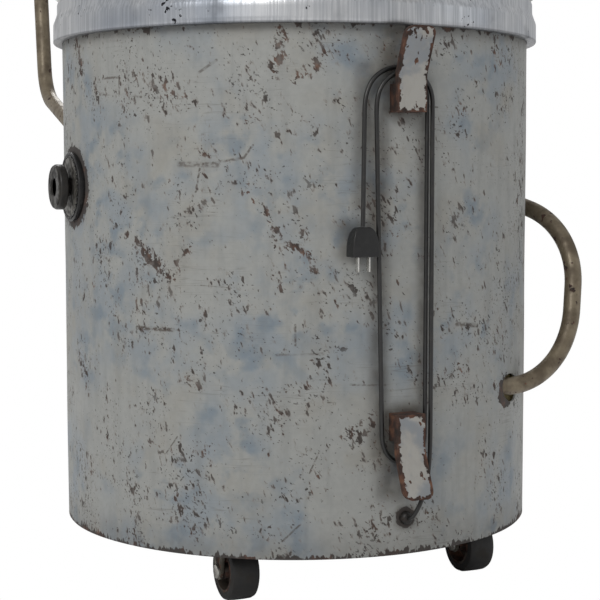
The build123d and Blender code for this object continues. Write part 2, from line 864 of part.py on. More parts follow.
# ---- plug ----
plug_at_x, plug_at_y, plug_top = cord_route[-1]
plug_low = plug_top - plug_l
blade_spots = [(plug_at_x + side * blade_pitch / 2, plug_at_y) for side in (-1, 1)]
with BuildPart() as plug_body:
    for z, width, depth, corner in (
        (plug_low, plug_w, plug_d, 6.0),
        (plug_low + plug_l * 0.5, plug_w - 3, plug_d - 1.5, 6.0),
        (plug_top, plug_top_w, plug_top_d, 5.0),
    ):
        with BuildSketch(Plane.XY.offset(z)):
            with Locations((plug_at_x, plug_at_y)):
                RectangleRounded(width, depth, corner)
    loft()
    with BuildSketch(Plane.XY.offset(plug_low)):
        with Locations(*blade_spots):
            Rectangle(blade_t, blade_w)
    extrude(amount=blade_root, mode=Mode.SUBTRACT)
save(plug_body.part, "plug_body")

with BuildPart() as plug_blades:
    with BuildSketch(Plane.XY.offset(plug_low - blade_l)):
        with Locations(*blade_spots):
            Rectangle(blade_t, blade_w)
    extrude(amount=blade_l + blade_root)
    fillet(plug_blades.faces().group_by(Axis.Z)[0].edges().filter_by(Axis.X), 1.5)
save(plug_blades.part, "plug_blades")

# ================= dial =================
def dial_plane(out):
    """Faces -X, at a distance out from the casing."""
    return Plane(origin=(-casing_r - out, 0, dial_z), x_dir=(0, -1, 0), z_dir=(-1, 0, 0))


with BuildPart() as dial_bezel:
    with BuildSketch(dial_plane(-4)):
        Circle(bezel_r)
    extrude(amount=bezel_t + 4)
    fillet(dial_bezel.faces().sort_by(Axis.X)[0].edges(), 1.2)
    with BuildSketch(dial_plane(bezel_t)):
        Circle(bezel_r - bezel_lip)
        Circle(bezel_r - bezel_lip - 3, mode=Mode.SUBTRACT)
    extrude(amount=-1.2, mode=Mode.SUBTRACT)
    with BuildSketch(dial_plane(bezel_t - 1.3)):
        with PolarLocations(bezel_r - bezel_lip - 1.5, tooth_count):
            Rectangle(2.6, 2.8)
    extrude(amount=1.3 + tooth_h)
    with BuildSketch(dial_plane(-5)):
        Circle(shaft_r + 1)
    extrude(amount=bezel_t + 8, mode=Mode.SUBTRACT)
    with BuildSketch(Plane.XY.offset(dial_z - 60)):
        Circle(casing_r + seat)
    extrude(amount=120, mode=Mode.SUBTRACT)
save(dial_bezel.part, "dial_bezel")

knob_back = bezel_t + face_gap
knob_front = knob_back + knob_neck_l + knob_t
thermostat_front = -casing_in + 4
shaft_end = thermostat_front + 10
with BuildPart() as dial_knob:
    with BuildSketch(dial_plane(knob_back)):
        Circle(knob_neck_r)
    extrude(amount=knob_neck_l)
    with BuildSketch(dial_plane(knob_back + knob_neck_l)):
        Circle(knob_r)
    extrude(amount=knob_t)
    rims = dial_knob.edges().filter_by(GeomType.CIRCLE).filter_by(lambda e: e.radius > knob_r - 1)
    fillet(rims.sort_by(Axis.X)[0], 2.8)
    fillet(rims.sort_by(Axis.X)[-1], 1.5)
    with BuildSketch(dial_plane(knob_front)):
        Circle(knob_dish_r)
    extrude(amount=-knob_dish_h, mode=Mode.SUBTRACT)
    with BuildSketch(dial_plane(knob_back)):
        Circle(shaft_r)
    extrude(amount=-(casing_r + knob_back + shaft_end))
save(dial_knob.part, "dial_knob")

with BuildPart() as thermostat_body:
    with BuildSketch(Plane(origin=(thermostat_front, 0, dial_z), z_dir=(1, 0, 0))):
        RectangleRounded(thermostat_w, thermostat_w, 5)
    extrude(amount=thermostat_d)
    with BuildSketch(Plane(origin=(thermostat_front, 0, dial_z), z_dir=(1, 0, 0))):
        Circle(shaft_r + running)
    extrude(amount=12, mode=Mode.SUBTRACT)
save(thermostat_body.part, "thermostat_body")

# ================= handle sockets =================
with BuildPart() as handle_sockets:
    for side in (-1, 1):
        spot = Vector(side * handle_half, handle_y, handle_z)
        azimuth = degrees(asin(side * handle_half / casing_r))
        flare = facing_plane(180 - azimuth, casing_r - 8, handle_z)
        with BuildSketch(flare):
            Circle(escutcheon_r)
        extrude(amount=8 + escutcheon_t + 2)
        with BuildSketch(Plane(origin=spot - handle_slope * 22, z_dir=handle_slope)):
            Circle(socket_r)
        extrude(amount=22 + socket_l)
        with BuildSketch(Plane(origin=spot + handle_slope * (socket_l - socket_depth), z_dir=handle_slope)):
            Circle(tube_r + seat)
        extrude(amount=40, mode=Mode.SUBTRACT)
    with BuildSketch(Plane.XY.offset(handle_z - 60)):
        Circle(casing_r + seat)
    extrude(amount=120, mode=Mode.SUBTRACT)
save(handle_sockets.part, "handle_sockets")

# ================= casters =================
arm_in = wheel_w / 2 + arm_gap
axle_half = arm_in + arm_t


def wheel(x, y, name):
    """A steel hub with a recessed web, and a rubber tyre on its rim."""
    with BuildPart() as hub:
        with BuildSketch(Plane.YZ.offset(x - tyre_w / 2)):
            with Locations((y, wheel_r)):
                Circle(rim_r)
                Circle(rim_r - rim_wall, mode=Mode.SUBTRACT)
        extrude(amount=tyre_w)
        with BuildSketch(Plane.YZ.offset(x - web_t / 2)):
            with Locations((y, wheel_r)):
                Circle(rim_r - rim_wall + 0.5)
        extrude(amount=web_t)
        with BuildSketch(Plane.YZ.offset(x - wheel_w / 2)):
            with Locations((y, wheel_r)):
                Circle(hub_r)
        extrude(amount=wheel_w)
        with BuildSketch(Plane.YZ.offset(x - wheel_w / 2)):
            with Locations((y, wheel_r)):
                Circle(axle_r + running)
        extrude(amount=wheel_w, mode=Mode.SUBTRACT)
    save(hub.part, f"wheel_hub_{name}")
    with BuildPart() as tyre:
        with BuildSketch(Plane.YZ.offset(x - tyre_w / 2)):
            with Locations((y, wheel_r)):
                Circle(wheel_r)
        extrude(amount=tyre_w)
        fillet(tyre.edges(), 3.5)
        with BuildSketch(Plane.YZ.offset(x - tyre_w / 2)):
            with Locations((y, wheel_r)):
                Circle(rim_r + seat)
        extrude(amount=tyre_w, mode=Mode.SUBTRACT)
    save(tyre.part, f"tyre_{name}")


def axle(x, y):
    """A headed axle across both arms."""
    for radius, start, length in (
        (axle_head_r, -axle_half - axle_head_h, axle_head_h),
        (axle_r, -axle_half, 2 * axle_half),
        (axle_head_r, axle_half, axle_head_h),
    ):
        with BuildSketch(Plane.YZ.offset(x + start)) as section:
            with Locations((y, wheel_r)):
                Circle(radius)
        extrude(section.sketch, amount=length)


def arms(x, y, top_y, top_z):
    """Two side arms that taper from the fork's top to the axle."""
    for start in (x - axle_half, x + arm_in):
        with BuildSketch(Plane.YZ.offset(start)) as arm:
            with BuildLine():
                Polyline(
                    (top_y - 19, top_z),
                    (y - arm_end_r, wheel_r),
                    (y + arm_end_r, wheel_r),
                    (top_y + 19, top_z),
                    close=True,
                )
            make_face()
            with Locations((y, wheel_r)):
                Circle(arm_end_r)
                Circle(axle_r + seat, mode=Mode.SUBTRACT)
        extrude(arm.sketch, amount=arm_t)


with BuildPart() as rigid_forks:
    for x, y in rigid_spots:
        with BuildSketch(Plane.XY.offset(pan_z - plate_t)):
            with Locations((x, y)):
                RectangleRounded(plate_x, plate_y, 5)
            with Locations(*[(x + dx, y + dy) for dx, dy in bolt_grid]):
                Circle(bolt_r + seat, mode=Mode.SUBTRACT)
        extrude(amount=plate_t)
        arms(x, y, y, pan_z - plate_t + 0.5)
save(rigid_forks.part, "rigid_forks")

with BuildPart() as rigid_axles:
    for x, y in rigid_spots:
        axle(x, y)
save(rigid_axles.part, "rigid_axles")

head_z = 2 * wheel_r + wheel_head_gap
crown_z = head_z + 3 + face_gap
plate_z = pan_z - plate_t

with BuildPart() as swivel_plates:
    for x, y in swivel_spots:
        with BuildSketch(Plane.XY.offset(plate_z)):
            with Locations((x, y)):
                RectangleRounded(plate_x, plate_y, 5)
            with Locations(*[(x + dx, y + dy) for dx, dy in bolt_grid]):
                Circle(bolt_r + seat, mode=Mode.SUBTRACT)
        extrude(amount=plate_t)
        with BuildSketch(Plane.XY.offset(head_z + 3)):
            with Locations((x, y)):
                Circle(kingpin_r)
        extrude(amount=plate_z - head_z - 3)
        with BuildSketch(Plane.XY.offset(head_z)):
            with Locations((x, y)):
                Circle(kingpin_head_r)
        extrude(amount=3)
save(swivel_plates.part, "swivel_plates")

for (x, y), name in zip(swivel_spots, ("rear_left", "rear_right")):
    wheel_y = y - trail
    with BuildPart() as fork:
        with BuildSketch(Plane.XY.offset(crown_z)):
            with Locations((x, y - trail / 2)):
                RectangleRounded(2 * axle_half, 38 + trail / 2, 6)
            with Locations((x, y)):
                Circle(kingpin_r + running, mode=Mode.SUBTRACT)
        extrude(amount=crown_t)
        with BuildSketch(Plane.XY.offset(crown_z + crown_t)):
            with Locations((x, y)):
                Circle(race_r)
                Circle(kingpin_r + running, mode=Mode.SUBTRACT)
        extrude(amount=plate_z - face_gap - crown_z - crown_t)
        arms(x, wheel_y, y - trail / 2, crown_z + 0.5)
    save(fork.part, f"swivel_fork_{name}")
    with BuildPart() as pin:
        axle(x, wheel_y)
    save(pin.part, f"swivel_axle_{name}")
    wheel(x, wheel_y, name)

for (x, y), name in zip(rigid_spots, ("front_left", "front_right")):
    wheel(x, y, name)

with BuildPart() as caster_bolts:
    for x, y in bolt_spots:
        for radius, z0, z1 in (
            (bolt_head_r, plate_z - bolt_head_h, plate_z),
            (bolt_r, plate_z, pan_z + pan_t),
            (bolt_head_r, pan_z + pan_t, pan_z + pan_t + bolt_head_h),
            (bolt_r, pan_z + pan_t + bolt_head_h, pan_z + pan_t + bolt_head_h + 3),
        ):
            with BuildSketch(Plane.XY.offset(z0)):
                with Locations((x, y)):
                    Circle(radius)
            extrude(amount=z1 - z0)
save(caster_bolts.part, "caster_bolts")
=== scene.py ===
"""The pressure canner as it looks: worn paint, galvanised collar, rusty hooks and a hanging cord."""

import json
import math

import bpy
from mathutils import Matrix, Vector


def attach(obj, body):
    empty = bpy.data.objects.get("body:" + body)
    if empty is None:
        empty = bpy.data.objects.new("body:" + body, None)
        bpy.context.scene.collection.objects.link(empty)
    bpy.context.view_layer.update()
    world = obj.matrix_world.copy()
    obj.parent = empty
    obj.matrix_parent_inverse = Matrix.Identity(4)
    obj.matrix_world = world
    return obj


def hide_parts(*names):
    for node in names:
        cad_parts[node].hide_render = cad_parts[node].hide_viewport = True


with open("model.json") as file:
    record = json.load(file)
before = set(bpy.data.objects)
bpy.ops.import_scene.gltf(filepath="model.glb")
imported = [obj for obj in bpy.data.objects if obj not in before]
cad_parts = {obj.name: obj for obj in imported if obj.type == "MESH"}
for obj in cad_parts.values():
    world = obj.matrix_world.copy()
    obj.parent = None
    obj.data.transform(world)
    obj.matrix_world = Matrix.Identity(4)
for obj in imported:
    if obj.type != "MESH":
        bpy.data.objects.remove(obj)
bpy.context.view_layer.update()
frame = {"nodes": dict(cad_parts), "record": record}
nodes = frame["nodes"]
body_of = {
    node: body for body, members in frame["record"]["behaviour"]["bodies"].items() for node in members
}

# ---- sizes, in metres ----
casing_r = 0.275
casing_low = 0.058
collar_low = 0.6135
collar_top = 0.663
wheel_r = 0.0325
wheel_spots = {
    "front_left": (-0.146, -0.168),
    "front_right": (0.146, -0.168),
    "rear_left": (-0.147, 0.125),
    "rear_right": (0.147, 0.125),
}
dial_z = 0.447
gland_spot = (0.0045, -0.282, 0.0975)
upper_hook = (0, -0.297, 0.5665)
lower_hook = (0, -0.297, 0.1675)
drum_steps = 288
tooth_count = 60
pipe_hole = (0.0130, 0.0160)    # half width and half height
weld = 0.00001
cad_weld = 0.000005


def tone(red, green, blue):
    """A linear colour from display values between 0 and 255."""
    return tuple(
        (v / 255 / 12.92) if v < 10.3 else ((v / 255 + 0.055) / 1.055) ** 2.4 for v in (red, green, blue)
    ) + (1,)


paint_pale = tone(144, 145, 142)
paint_cool = tone(127, 134, 139)
paint_blue = tone(100, 114, 126)
paint_warm = tone(138, 134, 124)
paint_dull = tone(104, 107, 107)
# dark brown used both for real grime and for painted shade on the casing
grime_and_shade_paint = tone(54, 46, 36)

# ================= camera, light and floor =================
camera_data = bpy.data.cameras.new("camera")
camera_data.lens = 89.94
camera_data.sensor_width = 36
camera = bpy.data.objects.new("camera", camera_data)
bpy.context.collection.objects.link(camera)
heading = math.radians(24.18)
tilt = math.radians(-4.55)
roll = math.radians(-0.11)
camera.matrix_world = (
    Matrix.Translation((-0.7382, -1.6581, 0.4535))
    @ Matrix.Rotation(-heading, 4, "Z")
    @ Matrix.Rotation(math.pi / 2 + tilt, 4, "X")
    @ Matrix.Rotation(roll, 4, "Z")
)
bpy.context.scene.camera = camera
bpy.context.scene.view_settings.view_transform = "Standard"


def area_light(name, spot, aim, size, power, colour):
    data = bpy.data.lights.new(name, "AREA")
    data.shape = "RECTANGLE"
    data.size, data.size_y = size
    data.energy = power
    data.color = colour
    lamp = bpy.data.objects.new(name, data)
    lamp.location = spot
    lamp.rotation_euler = (Vector(aim) - Vector(spot)).to_track_quat("-Z", "Y").to_euler()
    bpy.context.collection.objects.link(lamp)


area_light("key light", (-2.6, -2.2, 2.6), (0, 0, 0.4), (1.6, 1.6), 56, (1, 0.99, 0.97))
area_light("fill light", (2.6, -1.8, 1.4), (0, 0, 0.4), (1.2, 1.8), 3, (0.93, 0.97, 1))
area_light("back light", (0.6, 2.8, 2.4), (0, 0, 0.5), (2.0, 1.2), 40, (1, 1, 1))

world = bpy.data.worlds.new("studio")
bpy.context.scene.world = world
world.use_nodes = True
sky = world.node_tree.nodes["Background"]
sky.inputs["Color"].default_value = (1, 1, 1, 1)
sky.inputs["Strength"].default_value = 0.58
backdrop = world.node_tree.nodes.new("ShaderNodeBackground")
backdrop.inputs["Strength"].default_value = 1.0
backdrop.inputs["Color"].default_value = (1, 1, 1, 1)
seen = world.node_tree.nodes.new("ShaderNodeLightPath")
either = world.node_tree.nodes.new("ShaderNodeMixShader")
world.node_tree.links.new(seen.outputs["Is Camera Ray"], either.inputs[0])
world.node_tree.links.new(sky.outputs[0], either.inputs[1])
world.node_tree.links.new(backdrop.outputs[0], either.inputs[2])
world.node_tree.links.new(either.outputs[0], world.node_tree.nodes["World Output"].inputs["Surface"])

bpy.ops.object.select_all(action="DESELECT")
bpy.ops.mesh.primitive_plane_add(size=60, location=(0, 0, -0.0005))
floor = bpy.context.object
floor.name = "studio_floor"
floor_paint = bpy.data.materials.new("studio floor")
floor_paint.use_nodes = True
floor_paint.node_tree.nodes["Principled BSDF"].inputs["Base Color"].default_value = (0.93, 0.93, 0.93, 1)
floor_paint.node_tree.nodes["Principled BSDF"].inputs["Roughness"].default_value = 0.9
floor_glow = floor_paint.node_tree.nodes.new("ShaderNodeEmission")
floor_seen = floor_paint.node_tree.nodes.new("ShaderNodeLightPath")
floor_mix = floor_paint.node_tree.nodes.new("ShaderNodeMixShader")
floor_paint.node_tree.links.new(floor_seen.outputs["Is Camera Ray"], floor_mix.inputs[0])
floor_paint.node_tree.links.new(
    floor_paint.node_tree.nodes["Principled BSDF"].outputs[0], floor_mix.inputs[1]
)
floor_paint.node_tree.links.new(floor_glow.outputs[0], floor_mix.inputs[2])
floor_paint.node_tree.links.new(
    floor_mix.outputs[0], floor_paint.node_tree.nodes["Material Output"].inputs["Surface"]
)
floor.data.materials.append(floor_paint)

# ================= cord =================
cord_line = [
    (0.0045, -0.2820, 0.0975),
    (0.0058, -0.2880, 0.0993),
    (0.0092, -0.2913, 0.1065),
    (0.0150, -0.2920, 0.1175),
    (0.0225, -0.2905, 0.1360),
    (0.0273, -0.2876, 0.1650),
    (0.0286, -0.2858, 0.2030),
    (0.0287, -0.2858, 0.2320),
    (0.0292, -0.2858, 0.5170),
    (0.0293, -0.2858, 0.5460),
    (0.0155, -0.2858, 0.5635),
    (-0.0090, -0.2856, 0.5660),
    (-0.0270, -0.2850, 0.5555),
    (-0.0353, -0.2840, 0.5380),
    (-0.0345, -0.2836, 0.5090),
    (-0.0261, -0.2797, 0.2030),
    (-0.0253, -0.2793, 0.1740),
    (-0.0105, -0.2795, 0.1580),
    (0.0105, -0.2795, 0.1575),
    (0.0252, -0.2795, 0.1730),
    (0.0253, -0.2795, 0.2020),
    (0.0264, -0.2795, 0.5210),
    (0.0265, -0.2795, 0.5500),
    (0.0135, -0.2795, 0.5685),
    (-0.0140, -0.2795, 0.5710),
    (-0.0355, -0.2790, 0.5605),
    (-0.0460, -0.2790, 0.5400),
    (-0.0470, -0.2802, 0.5110),
    (-0.0507, -0.2845, 0.4065),
]
cord_data = bpy.data.curves.new("power_cord_sleeve", "CURVE")
cord_data.dimensions = "3D"
cord_spline = cord_data.splines.new("NURBS")
cord_spline.points.add(len(cord_line) - 1)
for point, spot in zip(cord_spline.points, cord_line):
    point.co = (*spot, 1)
cord_spline.order_u = 3
cord_spline.use_endpoint_u = True
cord_spline.resolution_u = 12
cord_data.bevel_depth = 0.0024
cord_data.bevel_resolution = 5
cord_data.use_fill_caps = True
cord = bpy.data.objects.new("power_cord_sleeve", cord_data)
bpy.context.collection.objects.link(cord)


# ================= making pieces =================
def deselect():
    bpy.ops.object.select_all(action="DESELECT")


def edit(piece):
    deselect()
    piece.select_set(True)
    bpy.context.view_layer.objects.active = piece
    bpy.ops.object.mode_set(mode="EDIT")
    bpy.ops.mesh.select_all(action="SELECT")


def done():
    bpy.ops.object.mode_set(mode="OBJECT")


def finish_edges(piece, width, segments=2, limit=30, smooth=35):
    """Rounds the edges sharper than limit and smooths the rest."""
    deselect()
    piece.select_set(True)
    bpy.context.view_layer.objects.active = piece
    if width:
        bevel = piece.modifiers.new("rounding", "BEVEL")
        bevel.width = width
        bevel.segments = segments
        bevel.limit_method = "ANGLE"
        bevel.angle_limit = math.radians(limit)
        bevel.harden_normals = False
        bpy.ops.object.modifier_apply(modifier="rounding")
    bpy.ops.object.shade_smooth_by_angle(angle=math.radians(smooth))


def turned(name, profile, steps, width=0.0, segments=2, place=None, limit=30):
    """A shape turned about +Z from (radius, height) pairs, ring by ring, closed at both ends."""
    deselect()
    radius, height = profile[0]
    bpy.ops.mesh.primitive_circle_add(vertices=steps, radius=radius, location=(0, 0, height))
    piece = bpy.context.object
    piece.name = name
    piece.data.name = name
    bpy.ops.object.transform_apply(location=True)
    bpy.ops.object.mode_set(mode="EDIT")
    bpy.ops.mesh.select_mode(type="VERT")
    bpy.ops.mesh.select_all(action="SELECT")
    for (r0, z0), (r1, z1) in zip(profile, profile[1:]):
        bpy.ops.mesh.extrude_region_move(TRANSFORM_OT_translate={"value": (0, 0, z1 - z0)})
        bpy.ops.transform.resize(value=(r1 / r0, r1 / r0, 1), center_override=(0, 0, z1))
    bpy.ops.mesh.select_all(action="SELECT")
    bpy.ops.mesh.remove_doubles(threshold=weld)
    bpy.ops.mesh.fill_holes(sides=0)
    bpy.ops.mesh.select_all(action="SELECT")
    bpy.ops.mesh.normals_make_consistent(inside=False)
    done()
    if place is not None:
        piece.data.transform(place)
    finish_edges(piece, width, segments, limit)
    return piece


def softened(name, node, width, segments=2, limit=30, smooth=35):
    """A copy of a CAD piece, with its triangles merged into faces and its edges rounded."""
    piece = nodes[node].copy()
    piece.data = nodes[node].data.copy()
    piece.name = name
    piece.data.name = name
    bpy.context.collection.objects.link(piece)
    edit(piece)
    bpy.ops.mesh.customdata_custom_splitnormals_clear()
    bpy.ops.mesh.remove_doubles(threshold=cad_weld)
    bpy.ops.mesh.dissolve_limited(angle_limit=math.radians(0.5))
    bpy.ops.mesh.select_all(action="SELECT")
    bpy.ops.mesh.normals_make_consistent(inside=False)
    done()
    finish_edges(piece, width, segments, limit, smooth)
    return piece


def copied(piece, name, place):
    """The same piece again somewhere else, with its own mesh."""
    again = piece.copy()
    again.data = piece.data.copy()
    again.name = name
    again.data.name = name
    again.data.transform(place)
    bpy.context.collection.objects.link(again)
    return again


def joined(name, pieces):
    deselect()
    for piece in pieces:
        piece.select_set(True)
    bpy.context.view_layer.objects.active = pieces[0]
    bpy.ops.object.join()
    pieces[0].name = name
    pieces[0].data.name = name
    return pieces[0]


def fitted(piece, material, node, replaces=True):
    """Dresses a piece, and puts it on the body of a CAD node that it stands for or sits on."""
    piece.data.materials.clear()
    piece.data.materials.append(material)
    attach(piece, body_of[node])
    if replaces:
        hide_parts(node)


# ================= shader tools =================
def shader_node(tree, kind, values=None, **settings):
    made = tree.nodes.new(kind)
    for key, value in settings.items():
        setattr(made, key, value)
    for socket, value in (values or {}).items():
        if isinstance(value, bpy.types.NodeSocket):
            tree.links.new(value, made.inputs[socket])
        else:
            made.inputs[socket].default_value = value
    return made


def calc(tree, operation, first, second=0.0):
    return shader_node(tree, "ShaderNodeMath", {0: first, 1: second}, operation=operation).outputs[0]


def blend(tree, factor, first, second, mode="MIX"):
    made = shader_node(
        tree, "ShaderNodeMix", {0: factor, 6: first, 7: second}, data_type="RGBA", blend_type=mode
    )
    return made.outputs[2]


def between(tree, value, low, high, out_low=0.0, out_high=1.0):
    """A smooth step from out_low to out_high as the value goes from low to high."""
    made = shader_node(
        tree,
        "ShaderNodeMapRange",
        {"Value": value, "From Min": low, "From Max": high, "To Min": out_low, "To Max": out_high},
        interpolation_type="SMOOTHSTEP",
    )
    return made.outputs[0]


def effect(name, inputs, outputs):
    """A new shader node group: the tree, its input node and its output node."""
    group = bpy.data.node_groups.new(name, "ShaderNodeTree")
    for label, kind, value in inputs:
        group.interface.new_socket(label, in_out="INPUT", socket_type=kind).default_value = value
    for label, kind in outputs:
        group.interface.new_socket(label, in_out="OUTPUT", socket_type=kind)
    return group, group.nodes.new("NodeGroupInput").outputs, group.nodes.new("NodeGroupOutput").inputs


def use(tree, group, values):
    return shader_node(tree, "ShaderNodeGroup", values, node_tree=group).outputs


NUMBER, COLOUR, VECTOR = "NodeSocketFloat", "NodeSocketColor", "NodeSocketVector"

# patches: soft or hard blotches, stretched in any direction
patches, given, gives = effect(
    "patches",
    [("Vector", VECTOR, (0, 0, 0)), ("Stretch", VECTOR, (1, 1, 1)), ("Shift", VECTOR, (0, 0, 0)),
     ("Tilt", VECTOR, (0, 0, 0)),
     ("Scale", NUMBER, 5), ("Detail", NUMBER, 4), ("Low", NUMBER, 0.45), ("High", NUMBER, 0.6)],
    [("Mask", NUMBER), ("Value", NUMBER)],
)
turned_vector = shader_node(
    patches, "ShaderNodeMapping", {0: given["Vector"], 1: given["Shift"], 2: given["Tilt"]}
)
stretched = shader_node(
    patches, "ShaderNodeVectorMath", {0: turned_vector.outputs[0], 1: given["Stretch"]}, operation="MULTIPLY"
)
patch_noise = shader_node(
    patches, "ShaderNodeTexNoise", {
        "Vector": stretched.outputs[0], "Scale": given["Scale"], "Detail": given["Detail"]
    }
)
patches.links.new(patch_noise.outputs[0], gives["Value"])
patches.links.new(between(patches, patch_noise.outputs[0], given["Low"], given["High"]), gives["Mask"])

# chips: flecks that gather in clusters
chips, given, gives = effect(
    "chips",
    [("Vector", VECTOR, (0, 0, 0)), ("Stretch", VECTOR, (1, 1, 0.5)), ("Tilt", VECTOR, (0, 0.3, 0)),
     ("Shift", VECTOR, (0, 0, 0)),
     ("Size", NUMBER, 100), ("Cluster Size", NUMBER, 9), ("Amount", NUMBER, 0.5)],
    [("Chips", NUMBER), ("Rims", NUMBER)],
)
fleck = use(
    chips, patches,
    {
        "Vector": given["Vector"], "Stretch": given["Stretch"], "Tilt": given["Tilt"],
        "Shift": given["Shift"], "Scale": given["Size"], "Detail": 3,
    },
)["Value"]
cluster = use(
    chips, patches, {
        "Vector": given["Vector"], "Shift": given["Shift"], "Scale": given["Cluster Size"], "Detail": 3.5
    }
)["Value"]
gathered = calc(chips, "MULTIPLY_ADD", cluster, 0.9)
gathered.node.inputs[2].default_value = 0
chip_sum = calc(chips, "ADD", fleck, gathered)
chip_edge = calc(chips, "SUBTRACT", 1.28, given["Amount"])
over = calc(chips, "SUBTRACT", chip_sum, chip_edge)
chips.links.new(between(chips, over, 0, 0.035), gives["Chips"])
chips.links.new(between(chips, over, -0.05, 0.02), gives["Rims"])

# lines: thin worn scratches along one direction
lines, given, gives = effect(
    "scratches",
    [("Vector", VECTOR, (0, 0, 0)), ("Stretch", VECTOR, (1, 1, 30)), ("Tilt", VECTOR, (0, 0, 0)),
     ("Shift", VECTOR, (0, 0, 0)),
     ("Scale", NUMBER, 8), ("Amount", NUMBER, 0.5)],
    [("Mask", NUMBER)],
)
line_noise = use(
    lines, patches,
    {
        "Vector": given["Vector"], "Stretch": given["Stretch"], "Tilt": given["Tilt"],
        "Shift": given["Shift"], "Scale": given["Scale"], "Detail": 1.5,
    },
)["Value"]
line_place = use(
    lines, patches,
    {
        "Vector": given["Vector"], "Shift": given["Shift"], "Scale": 14.0, "Detail": 2, "Low": 0.5,
        "High": 0.66,
    },
)["Mask"]
crest = calc(lines, "SUBTRACT", line_noise, 0.5)
crest = calc(lines, "ABSOLUTE", crest)
thin = between(lines, crest, 0.0, 0.012, 1.0, 0.0)
lines.links.new(
    calc(lines, "MULTIPLY", calc(lines, "MULTIPLY", thin, line_place), given["Amount"]), gives["Mask"]
)

# rust: brown tones from dark to orange
rust, given, gives = effect(
    "rust", [("Vector", VECTOR, (0, 0, 0)), ("Scale", NUMBER, 60)], [("Color", COLOUR), ("Height", NUMBER)]
)
rust_noise = use(rust, patches, {"Vector": given["Vector"], "Scale": given["Scale"], "Detail": 6})["Value"]
rust_tones = shader_node(rust, "ShaderNodeValToRGB", {0: rust_noise})
rust_steps = [
    (0.30, tone(30, 22, 18)), (0.45, tone(50, 34, 27)), (0.56, tone(72, 47, 36)), (0.68, tone(100, 68, 50))
]
for step, (where, colour) in zip((0, 1), rust_steps[:2]):
    rust_tones.color_ramp.elements[step].position = where
    rust_tones.color_ramp.elements[step].color = colour
for where, colour in rust_steps[2:]:
    rust_tones.color_ramp.elements.new(where).color = colour
rust.links.new(rust_tones.outputs[0], gives["Color"])
rust.links.new(rust_noise, gives["Height"])

# nearby: 1 inside a box, fading to 0 over a reach around it
nearby, given, gives = effect(
    "nearby",
    [
        ("Vector", VECTOR, (0, 0, 0)), ("Centre", VECTOR, (0, 0, 0)), ("Half Size", VECTOR, (0, 0, 0)),
        ("Reach", NUMBER, 0.03),
    ],
    [("Mask", NUMBER), ("Distance", NUMBER)],
)
offset = shader_node(
    nearby, "ShaderNodeVectorMath", {0: given["Vector"], 1: given["Centre"]}, operation="SUBTRACT"
)
offset = shader_node(nearby, "ShaderNodeVectorMath", {0: offset.outputs[0]}, operation="ABSOLUTE")
offset = shader_node(
    nearby, "ShaderNodeVectorMath", {0: offset.outputs[0], 1: given["Half Size"]}, operation="SUBTRACT"
)
offset = shader_node(
    nearby, "ShaderNodeVectorMath", {0: offset.outputs[0], 1: (0, 0, 0)}, operation="MAXIMUM"
)
away = shader_node(
    nearby, "ShaderNodeVectorMath", {0: offset.outputs[0]}, operation="LENGTH"
).outputs["Value"]
nearby.links.new(away, gives["Distance"])
nearby.links.new(between(nearby, away, 0.0, given["Reach"], 1.0, 0.0), gives["Mask"])

# inside: how deep a place is inside a box, made ragged
inside, given, gives = effect(
    "inside",
    [("Vector", VECTOR, (0, 0, 0)), ("Centre", VECTOR, (0, 0, 0)), ("Half Size", VECTOR, (1, 1, 1)),
     ("Margin", NUMBER, 0.004),
     ("Ragged", NUMBER, 0.01)],
    [("Mask", NUMBER)],
)
depth = shader_node(
    inside, "ShaderNodeVectorMath", {0: given["Vector"], 1: given["Centre"]}, operation="SUBTRACT"
)
depth = shader_node(inside, "ShaderNodeVectorMath", {0: depth.outputs[0]}, operation="ABSOLUTE")
depth = shader_node(
    inside, "ShaderNodeVectorMath", {0: given["Half Size"], 1: depth.outputs[0]}, operation="SUBTRACT"
)
sides = shader_node(inside, "ShaderNodeSeparateXYZ", {0: depth.outputs[0]}).outputs
least = calc(inside, "MINIMUM", calc(inside, "MINIMUM", sides[0], sides[1]), sides[2])
coarse = use(inside, patches, {"Vector": given["Vector"], "Scale": 190.0, "Detail": 6})["Value"]
tear = calc(inside, "MULTIPLY", calc(inside, "SUBTRACT", coarse, 0.5), given["Ragged"])
least = calc(inside, "ADD", calc(inside, "SUBTRACT", least, given["Margin"]), tear)
inside.links.new(between(inside, least, -0.0003, 0.0006), gives["Mask"])

# stroke: strongest along a straight line between two places, fading to 0 at a width
stroke, given, gives = effect(
    "stroke",
    [("Vector", VECTOR, (0, 0, 0)), ("From", VECTOR, (0, 0, 0)), ("To", VECTOR, (0, 0, 1)),
     ("Width", NUMBER, 0.01),
     ("Strength", NUMBER, 1)],
    [("Mask", NUMBER)],
)
along = shader_node(
    stroke, "ShaderNodeVectorMath", {0: given["To"], 1: given["From"]}, operation="SUBTRACT"
).outputs[0]
reached = shader_node(
    stroke, "ShaderNodeVectorMath", {0: given["Vector"], 1: given["From"]}, operation="SUBTRACT"
).outputs[0]
dot = shader_node(
    stroke, "ShaderNodeVectorMath", {0: reached, 1: along}, operation="DOT_PRODUCT"
).outputs["Value"]
whole = shader_node(
    stroke, "ShaderNodeVectorMath", {0: along, 1: along}, operation="DOT_PRODUCT"
).outputs["Value"]
share = shader_node(stroke, "ShaderNodeClamp", {0: calc(stroke, "DIVIDE", dot, whole)}).outputs[0]
nearest = shader_node(
    stroke, "ShaderNodeVectorMath", {0: along, "Scale": share}, operation="SCALE"
).outputs[0]
off = shader_node(
    stroke, "ShaderNodeVectorMath", {0: reached, 1: nearest}, operation="DISTANCE"
).outputs["Value"]
fade = between(stroke, calc(stroke, "DIVIDE", off, given["Width"]), 0.25, 1.0, 1.0, 0.0)
stroke.links.new(calc(stroke, "MULTIPLY", fade, given["Strength"]), gives["Mask"])


